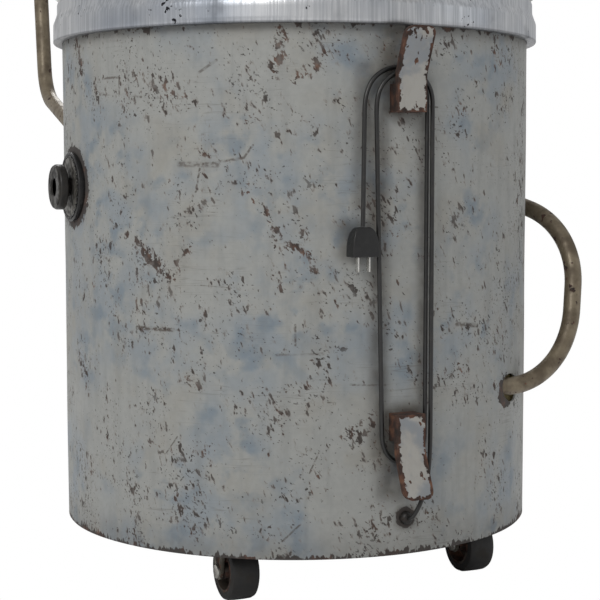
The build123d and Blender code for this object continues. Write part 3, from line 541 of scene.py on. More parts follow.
def material(name):
    """A new material: its tree, its Principled shader and its object coordinates."""
    made = bpy.data.materials.new(name)
    made.use_nodes = True
    tree = made.node_tree
    shader = tree.nodes["Principled BSDF"]
    place = tree.nodes.new("ShaderNodeTexCoord").outputs
    return made, tree, shader, place


def bumped(tree, shader, height, distance, strength=0.6):
    bump = shader_node(
        tree, "ShaderNodeBump", {"Height": height, "Distance": distance, "Strength": strength}
    )
    tree.links.new(bump.outputs[0], shader.inputs["Normal"])


# ================= casing paint =================
def on_drum(azimuth, z):
    """A place on the drum's side, by degrees round from the front and height."""
    a = math.radians(azimuth)
    return (casing_r * math.sin(a), -casing_r * math.cos(a), z)


# worn strokes: from azimuth and height, to azimuth and height, half width, strength
strokes = [
    ((-27, 0.602), (-28, 0.566), 0.013, 1.0),
    ((-28, 0.564), (-23, 0.557), 0.010, 0.8),
    ((-24, 0.556), (-20, 0.569), 0.012, 1.0),
    ((-64, 0.394), (-53, 0.354), 0.011, 0.85),
    ((-52, 0.354), (-47, 0.386), 0.011, 0.8),
    ((-29, 0.407), (-27, 0.385), 0.011, 0.85),
    ((-27, 0.385), (-21, 0.385), 0.009, 0.75),
    ((-22, 0.400), (-20, 0.362), 0.009, 0.75),
    ((-33, 0.432), (-30, 0.421), 0.008, 0.9),
    ((-86, 0.605), (-83, 0.578), 0.012, 0.9),
    ((-86, 0.251), (-82, 0.220), 0.013, 0.8),
    ((-48, 0.242), (-45, 0.236), 0.007, 1.0),
    ((-29, 0.360), (-27, 0.341), 0.008, 0.65),
    ((-6, 0.206), (-11, 0.190), 0.014, 0.75),
    ((29, 0.606), (28, 0.578), 0.012, 0.8),
    ((30, 0.226), (33, 0.214), 0.011, 0.85),
    ((10, 0.486), (13, 0.468), 0.010, 0.5),
    ((118, 0.560), (126, 0.505), 0.014, 0.9),
    ((152, 0.300), (160, 0.262), 0.012, 0.9),
    ((205, 0.420), (214, 0.386), 0.013, 0.85),
    ((62, 0.180), (70, 0.150), 0.013, 0.8),
]
# thin scratches: from azimuth and height, to azimuth and height, half width, strength
scratches = [
    ((-62, 0.297), (-52, 0.297), 0.0034, 0.95),
    ((-52, 0.297), (-41, 0.2955), 0.0009, 0.6),
    ((-50, 0.471), (-41, 0.470), 0.0042, 0.7),
    ((-42, 0.472), (-35, 0.477), 0.0022, 0.85),
    ((-35, 0.477), (-33, 0.490), 0.0018, 0.8),
    ((-74, 0.547), (-60, 0.542), 0.0020, 0.85),
    ((-67, 0.563), (-67, 0.544), 0.0018, 0.8),
    ((-73, 0.564), (-67, 0.564), 0.0020, 0.8),
    ((-45, 0.565), (-41, 0.577), 0.0022, 0.7),
    ((-46, 0.442), (-45, 0.466), 0.0018, 0.85),
    ((-49, 0.422), (-41, 0.421), 0.0008, 0.55),
    ((-45, 0.345), (-38, 0.343), 0.0010, 0.7),
    ((-28, 0.274), (-18, 0.275), 0.0022, 0.6),
    ((-24, 0.305), (-24, 0.284), 0.0018, 0.8),
    ((-12, 0.242), (-4, 0.240), 0.0018, 0.85),
    ((-17, 0.224), (-4, 0.223), 0.0012, 0.75),
    ((-54, 0.165), (-51, 0.184), 0.0012, 0.8),
    ((-21, 0.150), (-19, 0.171), 0.0013, 0.85),
    ((-27, 0.078), (-23, 0.096), 0.0015, 0.85),
    ((15, 0.300), (22, 0.296), 0.0036, 0.8),
    ((3, 0.532), (9, 0.530), 0.0014, 0.8),
    ((22, 0.196), (34, 0.192), 0.0010, 0.6),
    ((98, 0.420), (110, 0.418), 0.0024, 0.7),
    ((140, 0.520), (149, 0.523), 0.0018, 0.7),
    ((172, 0.200), (186, 0.197), 0.0020, 0.7),
    ((228, 0.300), (238, 0.304), 0.0018, 0.7),
]


def strongest(tree, where, marks):
    """The strongest of a list of marks drawn as strokes."""
    most = None
    for start, end, width, strength in marks:
        mark = use(
            tree, stroke,
            {
                "Vector": where, "From": on_drum(*start), "To": on_drum(*end), "Width": width,
                "Strength": strength,
            },
        )["Mask"]
        most = mark if most is None else calc(tree, "MAXIMUM", most, mark)
    return most


casing_paint, tree, shader, place = material("casing paint")
where = place["Object"]
region = use(
    tree, patches,
    {"Vector": where, "Shift": (3, 1, 2), "Scale": 8.0, "Detail": 3, "Low": 0.38, "High": 0.62},
)["Mask"]
cool = use(tree, patches, {"Vector": where, "Scale": 24.0, "Detail": 6, "Low": 0.40, "High": 0.60})["Mask"]
colour = blend(tree, calc(tree, "MULTIPLY", cool, region), paint_pale, paint_cool)
deep = use(
    tree, patches,
    {"Vector": where, "Shift": (1, 4, 2), "Scale": 38.0, "Detail": 7, "Low": 0.50, "High": 0.68},
)["Mask"]
colour = blend(tree, calc(tree, "MULTIPLY", calc(tree, "MULTIPLY", deep, region), 0.75), colour, paint_blue)
warm = use(
    tree, patches,
    {"Vector": where, "Shift": (7, 5, 1), "Scale": 17.0, "Detail": 5, "Low": 0.50, "High": 0.70},
)["Mask"]
colour = blend(tree, calc(tree, "MULTIPLY", warm, 0.45), colour, paint_warm)
streaked = use(
    tree, patches,
    {"Vector": where, "Stretch": (1, 1, 0.10), "Scale": 95.0, "Detail": 5, "Low": 0.48, "High": 0.72},
)["Mask"]
colour = blend(tree, calc(tree, "MULTIPLY", streaked, 0.22), colour, paint_dull)
mottle = use(tree, patches, {"Vector": where, "Scale": 150.0, "Detail": 5, "Low": 0.3, "High": 0.7})["Mask"]
colour = blend(tree, calc(tree, "MULTIPLY", mottle, 0.16), colour, paint_dull)

height = shader_node(tree, "ShaderNodeSeparateXYZ", {0: where}).outputs[2]
# darkening around the hooks, cord strands, plug, gland and dial: partly real grime, partly painted shade
# where those parts shade the casing
grime_and_painted_shade = None
grime_and_shade_halos = [
    ((0.002, -0.276, 0.541), (0.017, 0.02, 0.012), 0.024, 0.90),
    ((-0.004, -0.276, 0.575), (0.010, 0.02, 0.030), 0.030, 0.70),
    ((0.002, -0.276, 0.192), (0.017, 0.02, 0.014), 0.022, 0.95),
    ((-0.004, -0.276, 0.150), (0.012, 0.02, 0.022), 0.024, 0.70),
    ((-0.0265, -0.276, 0.36), (0.003, 0.02, 0.19), 0.016, 0.62),
    ((-0.042, -0.276, 0.50), (0.005, 0.02, 0.07), 0.014, 0.50),
    ((0.027, -0.276, 0.36), (0.002, 0.02, 0.19), 0.012, 0.60),
    ((-0.0507, -0.276, 0.392), (0.012, 0.02, 0.014), 0.016, 0.55),
    ((0.0045, -0.276, 0.0975), (0.003, 0.02, 0.003), 0.018, 0.95),
    ((-0.272, 0.0, 0.447), (0.02, 0.022, 0.022), 0.030, 0.55),
]
for centre, half, reach, amount in grime_and_shade_halos:
    halo_grime_and_shade = use(tree, nearby, {"Vector": where, "Centre": centre, "Half Size": half, "Reach": reach})["Mask"]
    halo_grime_and_shade = calc(tree, "MULTIPLY", halo_grime_and_shade, amount)
    grime_and_painted_shade = halo_grime_and_shade if grime_and_painted_shade is None else calc(tree, "MAXIMUM", grime_and_painted_shade, halo_grime_and_shade)
# painted shade: darker just under the collar lip and towards the bottom hem, added to the same mask
lip_shade = between(tree, height, collar_low - 0.016, collar_low, 0.0, 0.5)
low_shade = between(tree, height, casing_low + 0.045, casing_low, 0.0, 0.30)
grime_and_painted_shade = calc(tree, "MAXIMUM", grime_and_painted_shade, calc(tree, "MAXIMUM", lip_shade, low_shade))
uneven = use(
    tree, patches,
    {"Vector": where, "Shift": (2, 9, 4), "Scale": 60.0, "Detail": 6, "Low": 0.25, "High": 0.72},
)["Mask"]
grime_and_painted_shade = calc(tree, "MULTIPLY", grime_and_painted_shade, calc(tree, "ADD", calc(tree, "MULTIPLY", uneven, 0.5), 0.5))
# mixes the dark brown in as grime and painted shade together
colour = blend(tree, grime_and_painted_shade, colour, grime_and_shade_paint)

# worn places: strokes dense with flecks, thin scratches, and flecks scattered all over
worn = strongest(tree, where, strokes)
frayed = use(
    tree, patches, {"Vector": where, "Scale": 110.0, "Detail": 4, "Low": 0.36, "High": 0.60}
)["Mask"]
worn = calc(tree, "MULTIPLY", worn, calc(tree, "ADD", calc(tree, "MULTIPLY", frayed, 0.6), 0.4))
scored = strongest(tree, where, scratches)
fleck = use(
    tree, patches,
    {"Vector": where, "Stretch": (1, 1, 0.42), "Tilt": (0, 0.42, 0), "Scale": 190.0, "Detail": 3.5},
)["Value"]
speck = use(
    tree, patches,
    {
        "Vector": where, "Stretch": (1, 1, 0.6), "Tilt": (0.2, 0.9, 0), "Shift": (5, 3, 8), "Scale": 420.0,
        "Detail": 3,
    },
)["Value"]
blot = use(
    tree, patches,
    {
        "Vector": where, "Stretch": (1, 1, 0.8), "Tilt": (0, 0.3, 0), "Shift": (1, 7, 3), "Scale": 95.0,
        "Detail": 4.5,
    },
)["Value"]
gathering = use(tree, patches, {"Vector": where, "Shift": (5, 2, 8), "Scale": 19.0, "Detail": 4})["Value"]
gathering = calc(tree, "MULTIPLY", calc(tree, "SUBTRACT", gathering, 0.5), 0.42)
fleck = calc(tree, "ADD", calc(tree, "ADD", fleck, gathering), calc(tree, "MULTIPLY", worn, 0.20))
speck = calc(tree, "ADD", calc(tree, "ADD", speck, gathering), calc(tree, "MULTIPLY", worn, 0.17))
blot = calc(tree, "ADD", calc(tree, "ADD", blot, gathering), calc(tree, "MULTIPLY", worn, 0.05))
bare = calc(tree, "MAXIMUM", between(tree, fleck, 0.655, 0.695), between(tree, speck, 0.652, 0.695))
bare = calc(tree, "MAXIMUM", bare, between(tree, blot, 0.700, 0.730))
thinned = use(
    tree, patches,
    {"Vector": where, "Shift": (8, 8, 1), "Scale": 70.0, "Detail": 3, "Low": 0.36, "High": 0.60},
)["Mask"]
bare = calc(tree, "MULTIPLY", bare, calc(tree, "ADD", calc(tree, "MULTIPLY", thinned, 0.35), 0.65))
rims = between(tree, fleck, 0.60, 0.67)
rag = use(
    tree, patches,
    {"Vector": where, "Stretch": (1, 1, 1.6), "Scale": 210.0, "Detail": 5, "Low": 0.40, "High": 0.56},
)["Mask"]
scored = calc(tree, "MULTIPLY", scored, calc(tree, "ADD", calc(tree, "MULTIPLY", rag, 0.75), 0.25))
faint = use(
    tree, lines, {"Vector": where, "Stretch": (1, 1, 26), "Tilt": (0.02, 0, 0), "Scale": 6.0, "Amount": 0.30}
)["Mask"]
colour = blend(tree, calc(tree, "MAXIMUM", scored, faint), colour, tone(70, 62, 56))

hem_noise = use(
    tree, patches, {"Vector": where, "Stretch": (1, 1, 0.35), "Scale": 230.0, "Detail": 6}
)["Value"]
hem_wave = use(tree, patches, {"Vector": where, "Scale": 30.0, "Detail": 3})["Value"]
hem_line = calc(tree, "ADD", height, calc(tree, "MULTIPLY", calc(tree, "SUBTRACT", hem_noise, 0.5), 0.022))
hem_line = calc(tree, "ADD", hem_line, calc(tree, "MULTIPLY", calc(tree, "SUBTRACT", hem_wave, 0.5), 0.018))
hem_rust = between(tree, hem_line, casing_low + 0.0032, casing_low + 0.0046, 1.0, 0.0)
drip_noise = use(
    tree, patches, {"Vector": where, "Stretch": (1, 1, 0.5), "Scale": 62.0, "Detail": 6}
)["Value"]
top_line = calc(tree, "ADD", height, calc(tree, "MULTIPLY", calc(tree, "SUBTRACT", drip_noise, 0.5), 0.060))
top_rust = between(tree, top_line, collar_low + 0.0010, collar_low + 0.0030)
bare = calc(tree, "MAXIMUM", bare, calc(tree, "MAXIMUM", hem_rust, top_rust))
sore_noise = use(tree, patches, {"Vector": where, "Scale": 190.0, "Detail": 6})["Value"]
sores = [
    ((-0.272, 0.0, 0.447), 0.0465, 0.016),
    ((0.1600, -0.2237, 0.2165), 0.0190, 0.014),
    ((0.2590, -0.0880, 0.4410), 0.0185, 0.014),
    ((0.0045, -0.2750, 0.0975), 0.0110, 0.008),
]
for centre, reach, ragged in sores:
    away = use(tree, nearby, {"Vector": where, "Centre": centre})["Distance"]
    away = calc(tree, "ADD", away, calc(tree, "MULTIPLY", calc(tree, "SUBTRACT", sore_noise, 0.5), ragged))
    bare = calc(tree, "MAXIMUM", bare, between(tree, away, reach, reach + 0.0012, 1.0, 0.0))
rusted = use(tree, rust, {"Vector": where, "Scale": 120.0})
browner = calc(
    tree, "MAXIMUM", worn,
    use(tree, patches, {"Vector": where, "Scale": 26.0, "Detail": 3, "Low": 0.5, "High": 0.65})["Mask"],
)
dark_metal = blend(tree, browner, tone(50, 44, 41), rusted["Color"])
colour = blend(tree, calc(tree, "MULTIPLY", rims, 0.40), colour, tone(104, 92, 84))
colour = blend(tree, calc(tree, "MULTIPLY", bare, 0.92), colour, dark_metal)
tree.links.new(colour, shader.inputs["Base Color"])
gloss = between(tree, cool, 0, 1, 0.62, 0.5)
tree.links.new(blend(tree, bare, gloss, (0.88, 0.88, 0.88, 1)), shader.inputs["Roughness"])
relief = calc(tree, "SUBTRACT", calc(tree, "MULTIPLY", mottle, 0.08), bare)
bumped(tree, shader, relief, 0.0005, 0.45)

# ================= galvanised collar =================
collar_metal, tree, shader, place = material("galvanised collar")
where = place["Object"]
brushed = use(
    tree, patches,
    {"Vector": where, "Stretch": (1, 1, 0.02), "Scale": 420.0, "Detail": 3, "Low": 0.3, "High": 0.7},
)["Mask"]
clouds = use(tree, patches, {"Vector": where, "Scale": 9.0, "Detail": 5, "Low": 0.35, "High": 0.68})["Mask"]
colour = blend(tree, clouds, tone(205, 206, 208), tone(160, 166, 176))
colour = blend(tree, calc(tree, "MULTIPLY", brushed, 0.45), colour, tone(120, 124, 130))
tarnish = use(
    tree, patches,
    {
        "Vector": where, "Shift": (4, 4, 4), "Stretch": (1, 1, 0.8), "Scale": 14.0, "Detail": 6, "Low": 0.56,
        "High": 0.72,
    },
)["Mask"]
colour = blend(tree, calc(tree, "MULTIPLY", tarnish, 0.7), colour, tone(88, 92, 98))
spots = use(
    tree, chips,
    {
        "Vector": where, "Stretch": (1, 1, 0.8), "Size": 190.0, "Cluster Size": 14.0, "Amount": 0.11,
        "Shift": (9, 2, 2),
    },
)["Chips"]
height = shader_node(tree, "ShaderNodeSeparateXYZ", {0: where}).outputs[2]
edge_dark = between(tree, height, collar_low + 0.0006, collar_low + 0.0026, 0.55, 0.0)
colour = blend(tree, calc(tree, "MAXIMUM", spots, edge_dark), colour, tone(38, 38, 42))
tree.links.new(colour, shader.inputs["Base Color"])
shader.inputs["Metallic"].default_value = 0.85
rough = calc(tree, "ADD", calc(tree, "MULTIPLY", brushed, 0.14), calc(tree, "MULTIPLY", tarnish, 0.22))
tree.links.new(calc(tree, "ADD", rough, 0.30), shader.inputs["Roughness"])
bumped(tree, shader, calc(tree, "SUBTRACT", brushed, calc(tree, "MULTIPLY", spots, 2.0)), 0.0002, 0.5)


# ================= hook paint =================
def hook_finish(name, centre, half, depth_shift):
    """Chipped pale paint on the front of a tongue, with rusty borders and sides."""
    made, tree, shader, place = material(name)
    where = place["Object"]
    rusted = use(tree, rust, {"Vector": where, "Scale": 95.0})
    pale = blend(
        tree,
        use(tree, patches, {"Vector": where, "Scale": 38.0, "Detail": 4, "Low": 0.42, "High": 0.6})["Mask"],
        tone(150, 148, 143),
        tone(122, 126, 130),
    )
    fine = use(
        tree, patches,
        {"Vector": where, "Stretch": (1, 1, 0.5), "Scale": 150.0, "Detail": 4, "Low": 0.35, "High": 0.65},
    )["Mask"]
    pale = blend(tree, calc(tree, "MULTIPLY", fine, 0.2), pale, tone(128, 124, 118))
    panel = use(
        tree, inside,
        {"Vector": where, "Centre": centre, "Half Size": half, "Margin": 0.0030, "Ragged": 0.013},
    )["Mask"]
    facing = shader_node(tree, "ShaderNodeSeparateXYZ", {0: place["Normal"]}).outputs[1]
    front = between(tree, facing, -0.72, -0.80, 0.0, 1.0)
    flecks = use(
        tree, chips,
        {"Vector": where, "Size": 170.0, "Cluster Size": 30.0, "Amount": 0.14, "Shift": (depth_shift, 2, 1)},
    )["Chips"]
    kept = calc(tree, "MULTIPLY", calc(tree, "MULTIPLY", panel, front), calc(tree, "SUBTRACT", 1.0, flecks))
    tree.links.new(blend(tree, kept, rusted["Color"], pale), shader.inputs["Base Color"])
    tree.links.new(between(tree, kept, 0, 1, 0.86, 0.5), shader.inputs["Roughness"])
    bumped(tree, shader, calc(tree, "ADD", calc(tree, "MULTIPLY", rusted["Height"], 0.5), kept), 0.0006, 0.7)
    return made


upper_finish = hook_finish("upper hook paint", upper_hook, (0.017, 1, 0.043), 3)
lower_finish = hook_finish("lower hook paint", lower_hook, (0.017, 1, 0.043), 6)


# ================= other finishes =================
def finish(
    name, base, mark, metallic=0.0, rough=(0.45, 0.65), mark_range=(0.5, 0.65), mark_scale=40.0,
    mark_amount=0.8, rusty=0.0, rust_scale=30.0, fine_scale=260.0, relief=0.00025, coat=0.0,
    stretch=(1, 1, 1),
):
    """A worn finish: a base tone, marks in a second tone, fine mottling, and rust if asked for."""
    made, tree, shader, place = material(name)
    where = place["Object"]
    mark_mask = use(
        tree, patches,
        {
            "Vector": where, "Stretch": stretch, "Scale": mark_scale, "Detail": 6, "Low": mark_range[0],
            "High": mark_range[1],
        },
    )["Mask"]
    fine = use(
        tree, patches,
        {"Vector": where, "Stretch": stretch, "Scale": fine_scale, "Detail": 4, "Low": 0.3, "High": 0.7},
    )["Mask"]
    colour = blend(tree, calc(tree, "MULTIPLY", mark_mask, mark_amount), base, mark)
    colour = blend(tree, calc(tree, "MULTIPLY", fine, 0.22), colour, mark)
    level = between(tree, mark_mask, 0, 1, rough[0], rough[1])
    bump_from = calc(tree, "ADD", calc(tree, "MULTIPLY", fine, 0.5), calc(tree, "MULTIPLY", mark_mask, 0.5))
    if rusty:
        rusted = use(tree, rust, {"Vector": where, "Scale": 130.0})
        eaten = use(
            tree, patches,
            {
                "Vector": where, "Shift": (6, 1, 5), "Scale": rust_scale, "Detail": 7,
                "Low": 0.62 - rusty * 0.3, "High": 0.66 - rusty * 0.3,
            },
        )["Mask"]
        colour = blend(tree, eaten, colour, rusted["Color"])
        level = calc(tree, "MAXIMUM", level, calc(tree, "MULTIPLY", eaten, 0.85))
        bump_from = calc(tree, "ADD", bump_from, calc(tree, "MULTIPLY", rusted["Height"], eaten))
        if metallic:
            tree.links.new(between(tree, eaten, 0, 1, metallic, 0.0), shader.inputs["Metallic"])
    if metallic and not rusty:
        shader.inputs["Metallic"].default_value = metallic
    tree.links.new(colour, shader.inputs["Base Color"])
    tree.links.new(level, shader.inputs["Roughness"])
    shader.inputs["Coat Weight"].default_value = coat
    bumped(tree, shader, bump_from, relief)
    return made


khaki_tube = finish(
    "khaki lacquered tube", tone(122, 111, 92), tone(66, 54, 40), 0.3, (0.38, 0.58), (0.36, 0.70), 48.0, 0.7,
    0.06, 95.0,
)
fork_steel = finish(
    "dirty fork steel", tone(124, 121, 111), tone(62, 56, 47), 0.3, (0.45, 0.7), (0.42, 0.6), rusty=0.30,
    rust_scale=80.0,
)
rusty_hub = finish(
    "rusty hub", tone(62, 55, 48), tone(40, 31, 25), 0.2, (0.6, 0.8), rusty=0.6, rust_scale=50.0
)
zinc = finish("dull zinc", tone(188, 186, 180), tone(128, 126, 120), 0.85, (0.32, 0.5), mark_scale=60.0)
tyre_rubber = finish(
    "tyre rubber", tone(20, 20, 21), tone(38, 33, 26), 0.0, (0.62, 0.8), (0.5, 0.75), 50.0, 0.7,
    relief=0.0003,
)
cord_rubber = finish(
    "cord rubber", tone(15, 15, 15), tone(32, 30, 27), 0.0, (0.36, 0.5), mark_scale=120.0, coat=0.15,
    relief=0.0001,
)
plug_rubber = finish(
    "plug moulding", tone(13, 13, 14), tone(26, 26, 26), 0.0, (0.4, 0.55), mark_scale=150.0, relief=0.0001
)
blade_plate = finish(
    "blade plating", tone(225, 224, 220), tone(170, 168, 160), 0.9, (0.2, 0.35), mark_scale=200.0
)
gland_rubber = finish("gland rubber", tone(14, 12, 11), tone(36, 27, 20), 0.0, (0.5, 0.7), mark_scale=180.0)
bezel_black = finish(
    "bezel moulding", tone(20, 20, 21), tone(44, 42, 40), 0.1, (0.36, 0.6), (0.52, 0.7), 110.0, 0.7
)
dial_metal = finish(
    "worn dial metal", tone(118, 116, 110), tone(40, 37, 33), 0.5, (0.4, 0.6), (0.38, 0.60), 150.0, 0.85
)
knob_black = finish(
    "knob side", tone(20, 18, 16), tone(40, 34, 26), 0.1, (0.42, 0.6), (0.5, 0.7), 120.0, 0.7
)
tooth_metal = finish(
    "worn serrations", tone(150, 148, 142), tone(60, 58, 54), 0.7, (0.35, 0.55), (0.46, 0.56), 240.0, 0.9
)
cap_metal = finish(
    "worn knob front", tone(72, 70, 66), tone(25, 23, 21), 0.5, (0.4, 0.6), (0.40, 0.60), 150.0, 0.9
)
cast_metal = finish(
    "cast aluminium", tone(188, 189, 188), tone(138, 138, 136), 0.9, (0.34, 0.5), (0.48, 0.7), 22.0, 0.7,
    relief=0.0004,
)
bright_metal = finish("rack aluminium", tone(205, 205, 204), tone(160, 160, 158), 0.9, (0.28, 0.45))
black_grip = finish("handle grip", tone(30, 29, 28), tone(56, 54, 50), 0.0, (0.38, 0.55), mark_scale=70.0)
dull_brass = finish(
    "dull brass", tone(176, 148, 92), tone(104, 82, 50), 0.85, (0.34, 0.55), (0.45, 0.65), 80.0
)
dull_chrome = finish(
    "gauge chrome", tone(200, 200, 198), tone(140, 138, 134), 0.95, (0.18, 0.35), (0.52, 0.7), 60.0
)
gauge_cream = finish(
    "gauge face", tone(222, 218, 204), tone(196, 184, 156), 0.0, (0.5, 0.6), (0.5, 0.75), 30.0, 0.6
)
gauge_black = finish("gauge marks", tone(24, 24, 24), tone(44, 44, 44), 0.0, (0.5, 0.6))
gasket_rubber = finish("gasket rubber", tone(34, 34, 34), tone(56, 56, 54), 0.0, (0.6, 0.75))
pan_steel = finish(
    "rusty pan", tone(110, 104, 94), tone(74, 64, 52), 0.2, (0.6, 0.8), rusty=0.5, rust_scale=18.0
)
wool_finish = finish(
    "mineral wool", tone(188, 176, 134), tone(140, 126, 88), 0.0, (0.9, 0.95), fine_scale=400.0, relief=0.002
)
element_steel = finish("element steel", tone(78, 70, 64), tone(44, 40, 38), 0.7, (0.4, 0.6), rusty=0.15)
black_moulding = finish("black moulding", tone(30, 28, 27), tone(50, 46, 42), 0.0, (0.45, 0.6))

clear_glass, tree, shader, place = material("gauge glass")
dust = use(
    tree, patches, {"Vector": place["Object"], "Scale": 60.0, "Detail": 5, "Low": 0.45, "High": 0.75}
)["Mask"]
tree.links.new(between(tree, dust, 0, 1, 0.03, 0.16), shader.inputs["Roughness"])
shader.inputs["Base Color"].default_value = (0.95, 0.97, 0.97, 1)
shader.inputs["Transmission Weight"].default_value = 1.0
shader.inputs["IOR"].default_value = 1.45

# ================= CAD nodes that stay in view =================
kept_nodes = {
    "insulation": wool_finish,
    "heating_element": element_steel,
    "terminal_box": pan_steel,
    "thermostat_body": black_moulding,
    "pipe_unions": dull_brass,
    "pivot_pins": zinc,
    "jar_rack": bright_metal,
    "gauge_needle": gauge_black,
    "gauge_dial": gauge_cream,
    "gauge_glass": clear_glass,
    "vent_pipe": dull_brass,
    "lid_gasket": gasket_rubber,
    "pressure_vessel": cast_metal,
    "base_pan": pan_steel,
}
for node, paint in kept_nodes.items():
    for index in range(len(nodes[node].data.materials)):
        nodes[node].data.materials[index] = paint

# ================= cord, gland and plug =================
fitted(cord, cord_rubber, "power_cord")

gland = turned(
    "gland_grommet",
    [
        (0.0048, 0.0), (0.0062, -0.0008), (0.0072, 0.0016), (0.0072, 0.0040), (0.0064, 0.0068),
        (0.0048, 0.0084), (0.0034, 0.0090),
    ],
    40, 0.0006, 2,
    Matrix.Translation(
        (gland_spot[0], -casing_r + 0.001, gland_spot[2])
    ) @ Matrix.Rotation(math.pi / 2, 4, "X"),
)
fitted(gland, gland_rubber, "cord_gland")

plug_x, plug_y, plug_top = cord_line[-1]
plug_low = plug_top - 0.031
deselect()
bpy.ops.mesh.primitive_cube_add(size=1, location=(plug_x, plug_y, plug_low + 0.0005))
plug = bpy.context.object
plug.name = "plug_moulding"
plug.data.name = "plug_moulding"
bpy.ops.transform.resize(value=(0.030, 0.0175, 0.001))
bpy.ops.object.transform_apply(location=True, scale=True)
bpy.ops.object.mode_set(mode="EDIT")
bpy.ops.mesh.select_mode(type="FACE")
bpy.ops.mesh.select_all(action="DESELECT")
bpy.ops.object.mode_set(mode="OBJECT")
top_face = max(plug.data.polygons, key=lambda face: face.center.z)
top_face.select = True
bpy.ops.object.mode_set(mode="EDIT")
rise = plug_low + 0.001
for lift, wide, deep in (
    (0.010, 0.985, 0.99), (0.008, 0.93, 0.94), (0.006, 0.86, 0.88), (0.0035, 0.80, 0.82),
    (0.0020, 0.72, 0.72),
):
    rise += lift
    bpy.ops.mesh.extrude_region_move(TRANSFORM_OT_translate={"value": (0, 0, lift)})
    bpy.ops.transform.resize(value=(wide, deep, 1), center_override=(plug_x, plug_y, rise))
done()
finish_edges(plug, 0.0034, 4, 25)
fitted(plug, plug_rubber, "plug_body")
blades = softened("plug_blade_pair", "plug_blades", 0.0003, 2)
fitted(blades, blade_plate, "plug_blades")

# ================= casing =================
shell = turned(
    "casing_skin",
    [(casing_r - 0.0030, casing_low + 0.008), (casing_r - 0.0030, casing_low + 0.0006),
     (casing_r - 0.0022, casing_low),
     (casing_r - 0.0006, casing_low), (casing_r, casing_low + 0.0008)]
    + [(casing_r, casing_low + 0.0008 + step * 0.0125) for step in range(1, 48)]
    + [(casing_r, collar_top - 0.004), (casing_r - 0.0015, collar_top - 0.004),
       (casing_r - 0.0015, casing_low + 0.009),
       (casing_r - 0.0030, casing_low + 0.008)],
    drum_steps,
)
dents = bpy.data.textures.new("dents", "CLOUDS")
dents.noise_scale = 0.16
dents.noise_depth = 1
dented = shell.modifiers.new("dents", "DISPLACE")
dented.texture = dents
dented.texture_coords = "LOCAL"
dented.strength = 0.0011
dented.mid_level = 0.5
deselect()
shell.select_set(True)
bpy.context.view_layer.objects.active = shell
bpy.ops.object.modifier_apply(modifier="dents")
pipe_starts = [
    (Vector((0.1480, -0.2162, 0.2230)), Vector((0.2538, -0.2070, 0.2053))),
    (Vector((0.2480, -0.0844, 0.4290)), Vector((0.2862, -0.1740, 0.3978))),
]
for start, corner in pipe_starts:
    way = (corner - start).normalized()
    deselect()
    bpy.ops.mesh.primitive_cylinder_add(vertices=48, radius=1, depth=0.12)
    drill = bpy.context.object
    aim = Matrix.Translation(start + way * 0.02) @ way.to_track_quat("Z", "Y").to_matrix().to_4x4()
    drill.data.transform(aim @ Matrix.Diagonal((*pipe_hole, 1, 1)))
    cut = shell.modifiers.new("pipe hole", "BOOLEAN")
    cut.object = drill
    cut.operation = "DIFFERENCE"
    deselect()
    shell.select_set(True)
    bpy.context.view_layer.objects.active = shell
    bpy.ops.object.modifier_apply(modifier="pipe hole")
    bpy.data.objects.remove(drill)
fitted(shell, casing_paint, "casing_shell")

collar = turned(
    "collar_band",
    [(0.2752, 0.6135), (0.2830, 0.6130), (0.2850, 0.6135), (0.2856, 0.6145), (0.2855, 0.6200),
     (0.2854, 0.6300), (0.2853, 0.6340),
     (0.2847, 0.6362), (0.2838, 0.6382), (0.2822, 0.6428), (0.2812, 0.6456), (0.2809, 0.6480),
     (0.2808, 0.6530), (0.2807, 0.6570),
     (0.2800, 0.6590), (0.2784, 0.6612), (0.2762, 0.6628), (0.2740, 0.6632), (0.2600, 0.6630),
     (0.2422, 0.6630), (0.2422, 0.6612),
     (0.2752, 0.6612), (0.2752, 0.6135)],
    drum_steps, 0.0,
)
fitted(collar, collar_metal, "top_collar")

# ================= cord hooks =================
for node, paint in (("upper_cord_hook", upper_finish), ("lower_cord_hook", lower_finish)):
    hook = softened(node + "_worn", node, 0.0011, 3, 25)
    fitted(hook, paint, node)

# ================= tubes =================
for node in ("bent_pipe", "push_handle"):
    piece = softened(node + "_lacquered", node, 0.0, smooth=40)
    fitted(piece, khaki_tube, node)
sockets = softened("handle_socket_pair", "handle_sockets", 0.0010, 2)
fitted(sockets, fork_steel, "handle_sockets")

# ================= dial =================
bezel = softened("dial_bezel_worn", "dial_bezel", 0.0004, 2)
fitted(bezel, bezel_black, "dial_bezel")
knob = softened("dial_knob_worn", "dial_knob", 0.0004, 2)
fitted(knob, knob_black, "dial_knob")
to_dial = Matrix.Translation((-casing_r, 0, dial_z)) @ Matrix.Rotation(-math.pi / 2, 4, "Y")
face_out = 0.00465
face_plate = turned(
    "dial_face_plate",
    [(0.0330, face_out - 0.0008), (0.0335, face_out), (0.0325, face_out + 0.0005),
     (0.0150, face_out + 0.0004),
     (0.0108, face_out + 0.0002), (0.0108, face_out - 0.0008)],
    96, 0.0, place=to_dial,
)
fitted(face_plate, dial_metal, "dial_bezel", replaces=False)
serrations = []
for step in range(tooth_count):
    spin = Matrix.Rotation(math.tau * step / tooth_count, 4, "Z")
    if not serrations:
        deselect()
        bpy.ops.mesh.primitive_cube_add(size=0.0012)
        tooth = bpy.context.object
        tooth.data.transform(Matrix.Diagonal((1.5, 0.9, 0.7, 1)))
        tooth.data.transform(Matrix.Translation((0.0345, 0, face_out + 0.0003)))
        finish_edges(tooth, 0.0002, 2)
        tooth_model = tooth
        serrations.append(tooth)
    else:
        serrations.append(copied(tooth_model, "tooth", spin))
for tooth in serrations:
    tooth.data.transform(to_dial)
serration_ring = joined("dial_serrations", serrations)
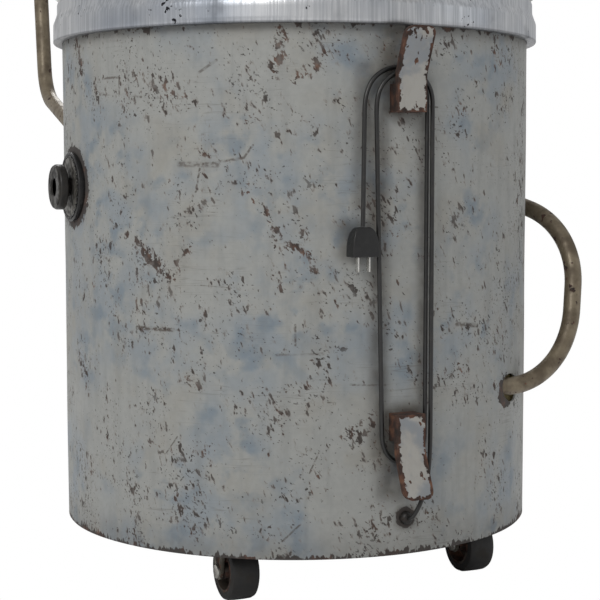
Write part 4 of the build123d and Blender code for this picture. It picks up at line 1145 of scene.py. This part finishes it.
fitted(serration_ring, tooth_metal, "dial_bezel", replaces=False)
knob_front = 0.0221
knob_cap = turned(
    "knob_cap",
    [(0.0240, knob_front - 0.0008), (0.0241, knob_front), (0.0232, knob_front + 0.0007),
     (0.0118, knob_front + 0.0007),
     (0.0106, knob_front), (0.0105, knob_front - 0.0008)],
    72, 0.0, place=to_dial,
)
fitted(knob_cap, cap_metal, "dial_knob", replaces=False)

# ================= casters =================
upright = Matrix.Rotation(math.pi / 2, 4, "Y")
tyre = turned(
    "tyre_model",
    [(0.0236, -0.0155), (0.0285, -0.0160), (0.0310, -0.0148), (0.0322, -0.0118), (0.0325, -0.0060),
     (0.0325, 0.0060),
     (0.0322, 0.0118), (0.0310, 0.0148), (0.0285, 0.0160), (0.0236, 0.0155), (0.0236, -0.0155)],
    72, 0.0, place=upright,
)
hub = turned(
    "hub_model",
    [(0.0235, -0.0158), (0.0235, 0.0158), (0.0207, 0.0158), (0.0200, 0.0040), (0.0120, 0.0040),
     (0.0090, 0.0060), (0.0085, 0.0165),
     (0.0041, 0.0165), (0.0041, -0.0165), (0.0085, -0.0165), (0.0090, -0.0060), (0.0120, -0.0040),
     (0.0200, -0.0040),
     (0.0207, -0.0158), (0.0235, -0.0158)],
    56, 0.0005, 2, place=upright,
)
for name, (x, y) in wheel_spots.items():
    spot = Matrix.Translation((x, y, wheel_r))
    fitted(copied(tyre, "rubber_" + name, spot), tyre_rubber, "tyre_" + name)
    fitted(copied(hub, "hub_" + name, spot), rusty_hub, "wheel_hub_" + name)
for model in (tyre, hub):
    bpy.data.objects.remove(model)
for node, paint, width in (
    ("rigid_forks", fork_steel, 0.0006),
    ("rigid_axles", zinc, 0.0006),
    ("swivel_plates", fork_steel, 0.0006),
    ("swivel_fork_rear_left", fork_steel, 0.0006),
    ("swivel_fork_rear_right", fork_steel, 0.0006),
    ("swivel_axle_rear_left", zinc, 0.0006),
    ("swivel_axle_rear_right", zinc, 0.0006),
    ("caster_bolts", zinc, 0.0005),
):
    fitted(softened(node + "_worn", node, width), paint, node)

# ================= lid =================
lid_parts = [
    ("lid_dome", cast_metal, 0.0010),
    ("lid_handles", black_grip, 0.0008),
    ("gauge_case", dull_chrome, 0.0005),
    ("safety_plug", dull_brass, 0.0006),
    ("regulator_weight", zinc, 0.0008),
]
for number in range(1, 7):
    lid_parts.append((f"swing_bolt_{number}", zinc, 0.0005))
    lid_parts.append((f"wing_nut_{number}", dull_brass, 0.0009))
for node, paint, width in lid_parts:
    fitted(softened(node + "_worn", node, width), paint, node)
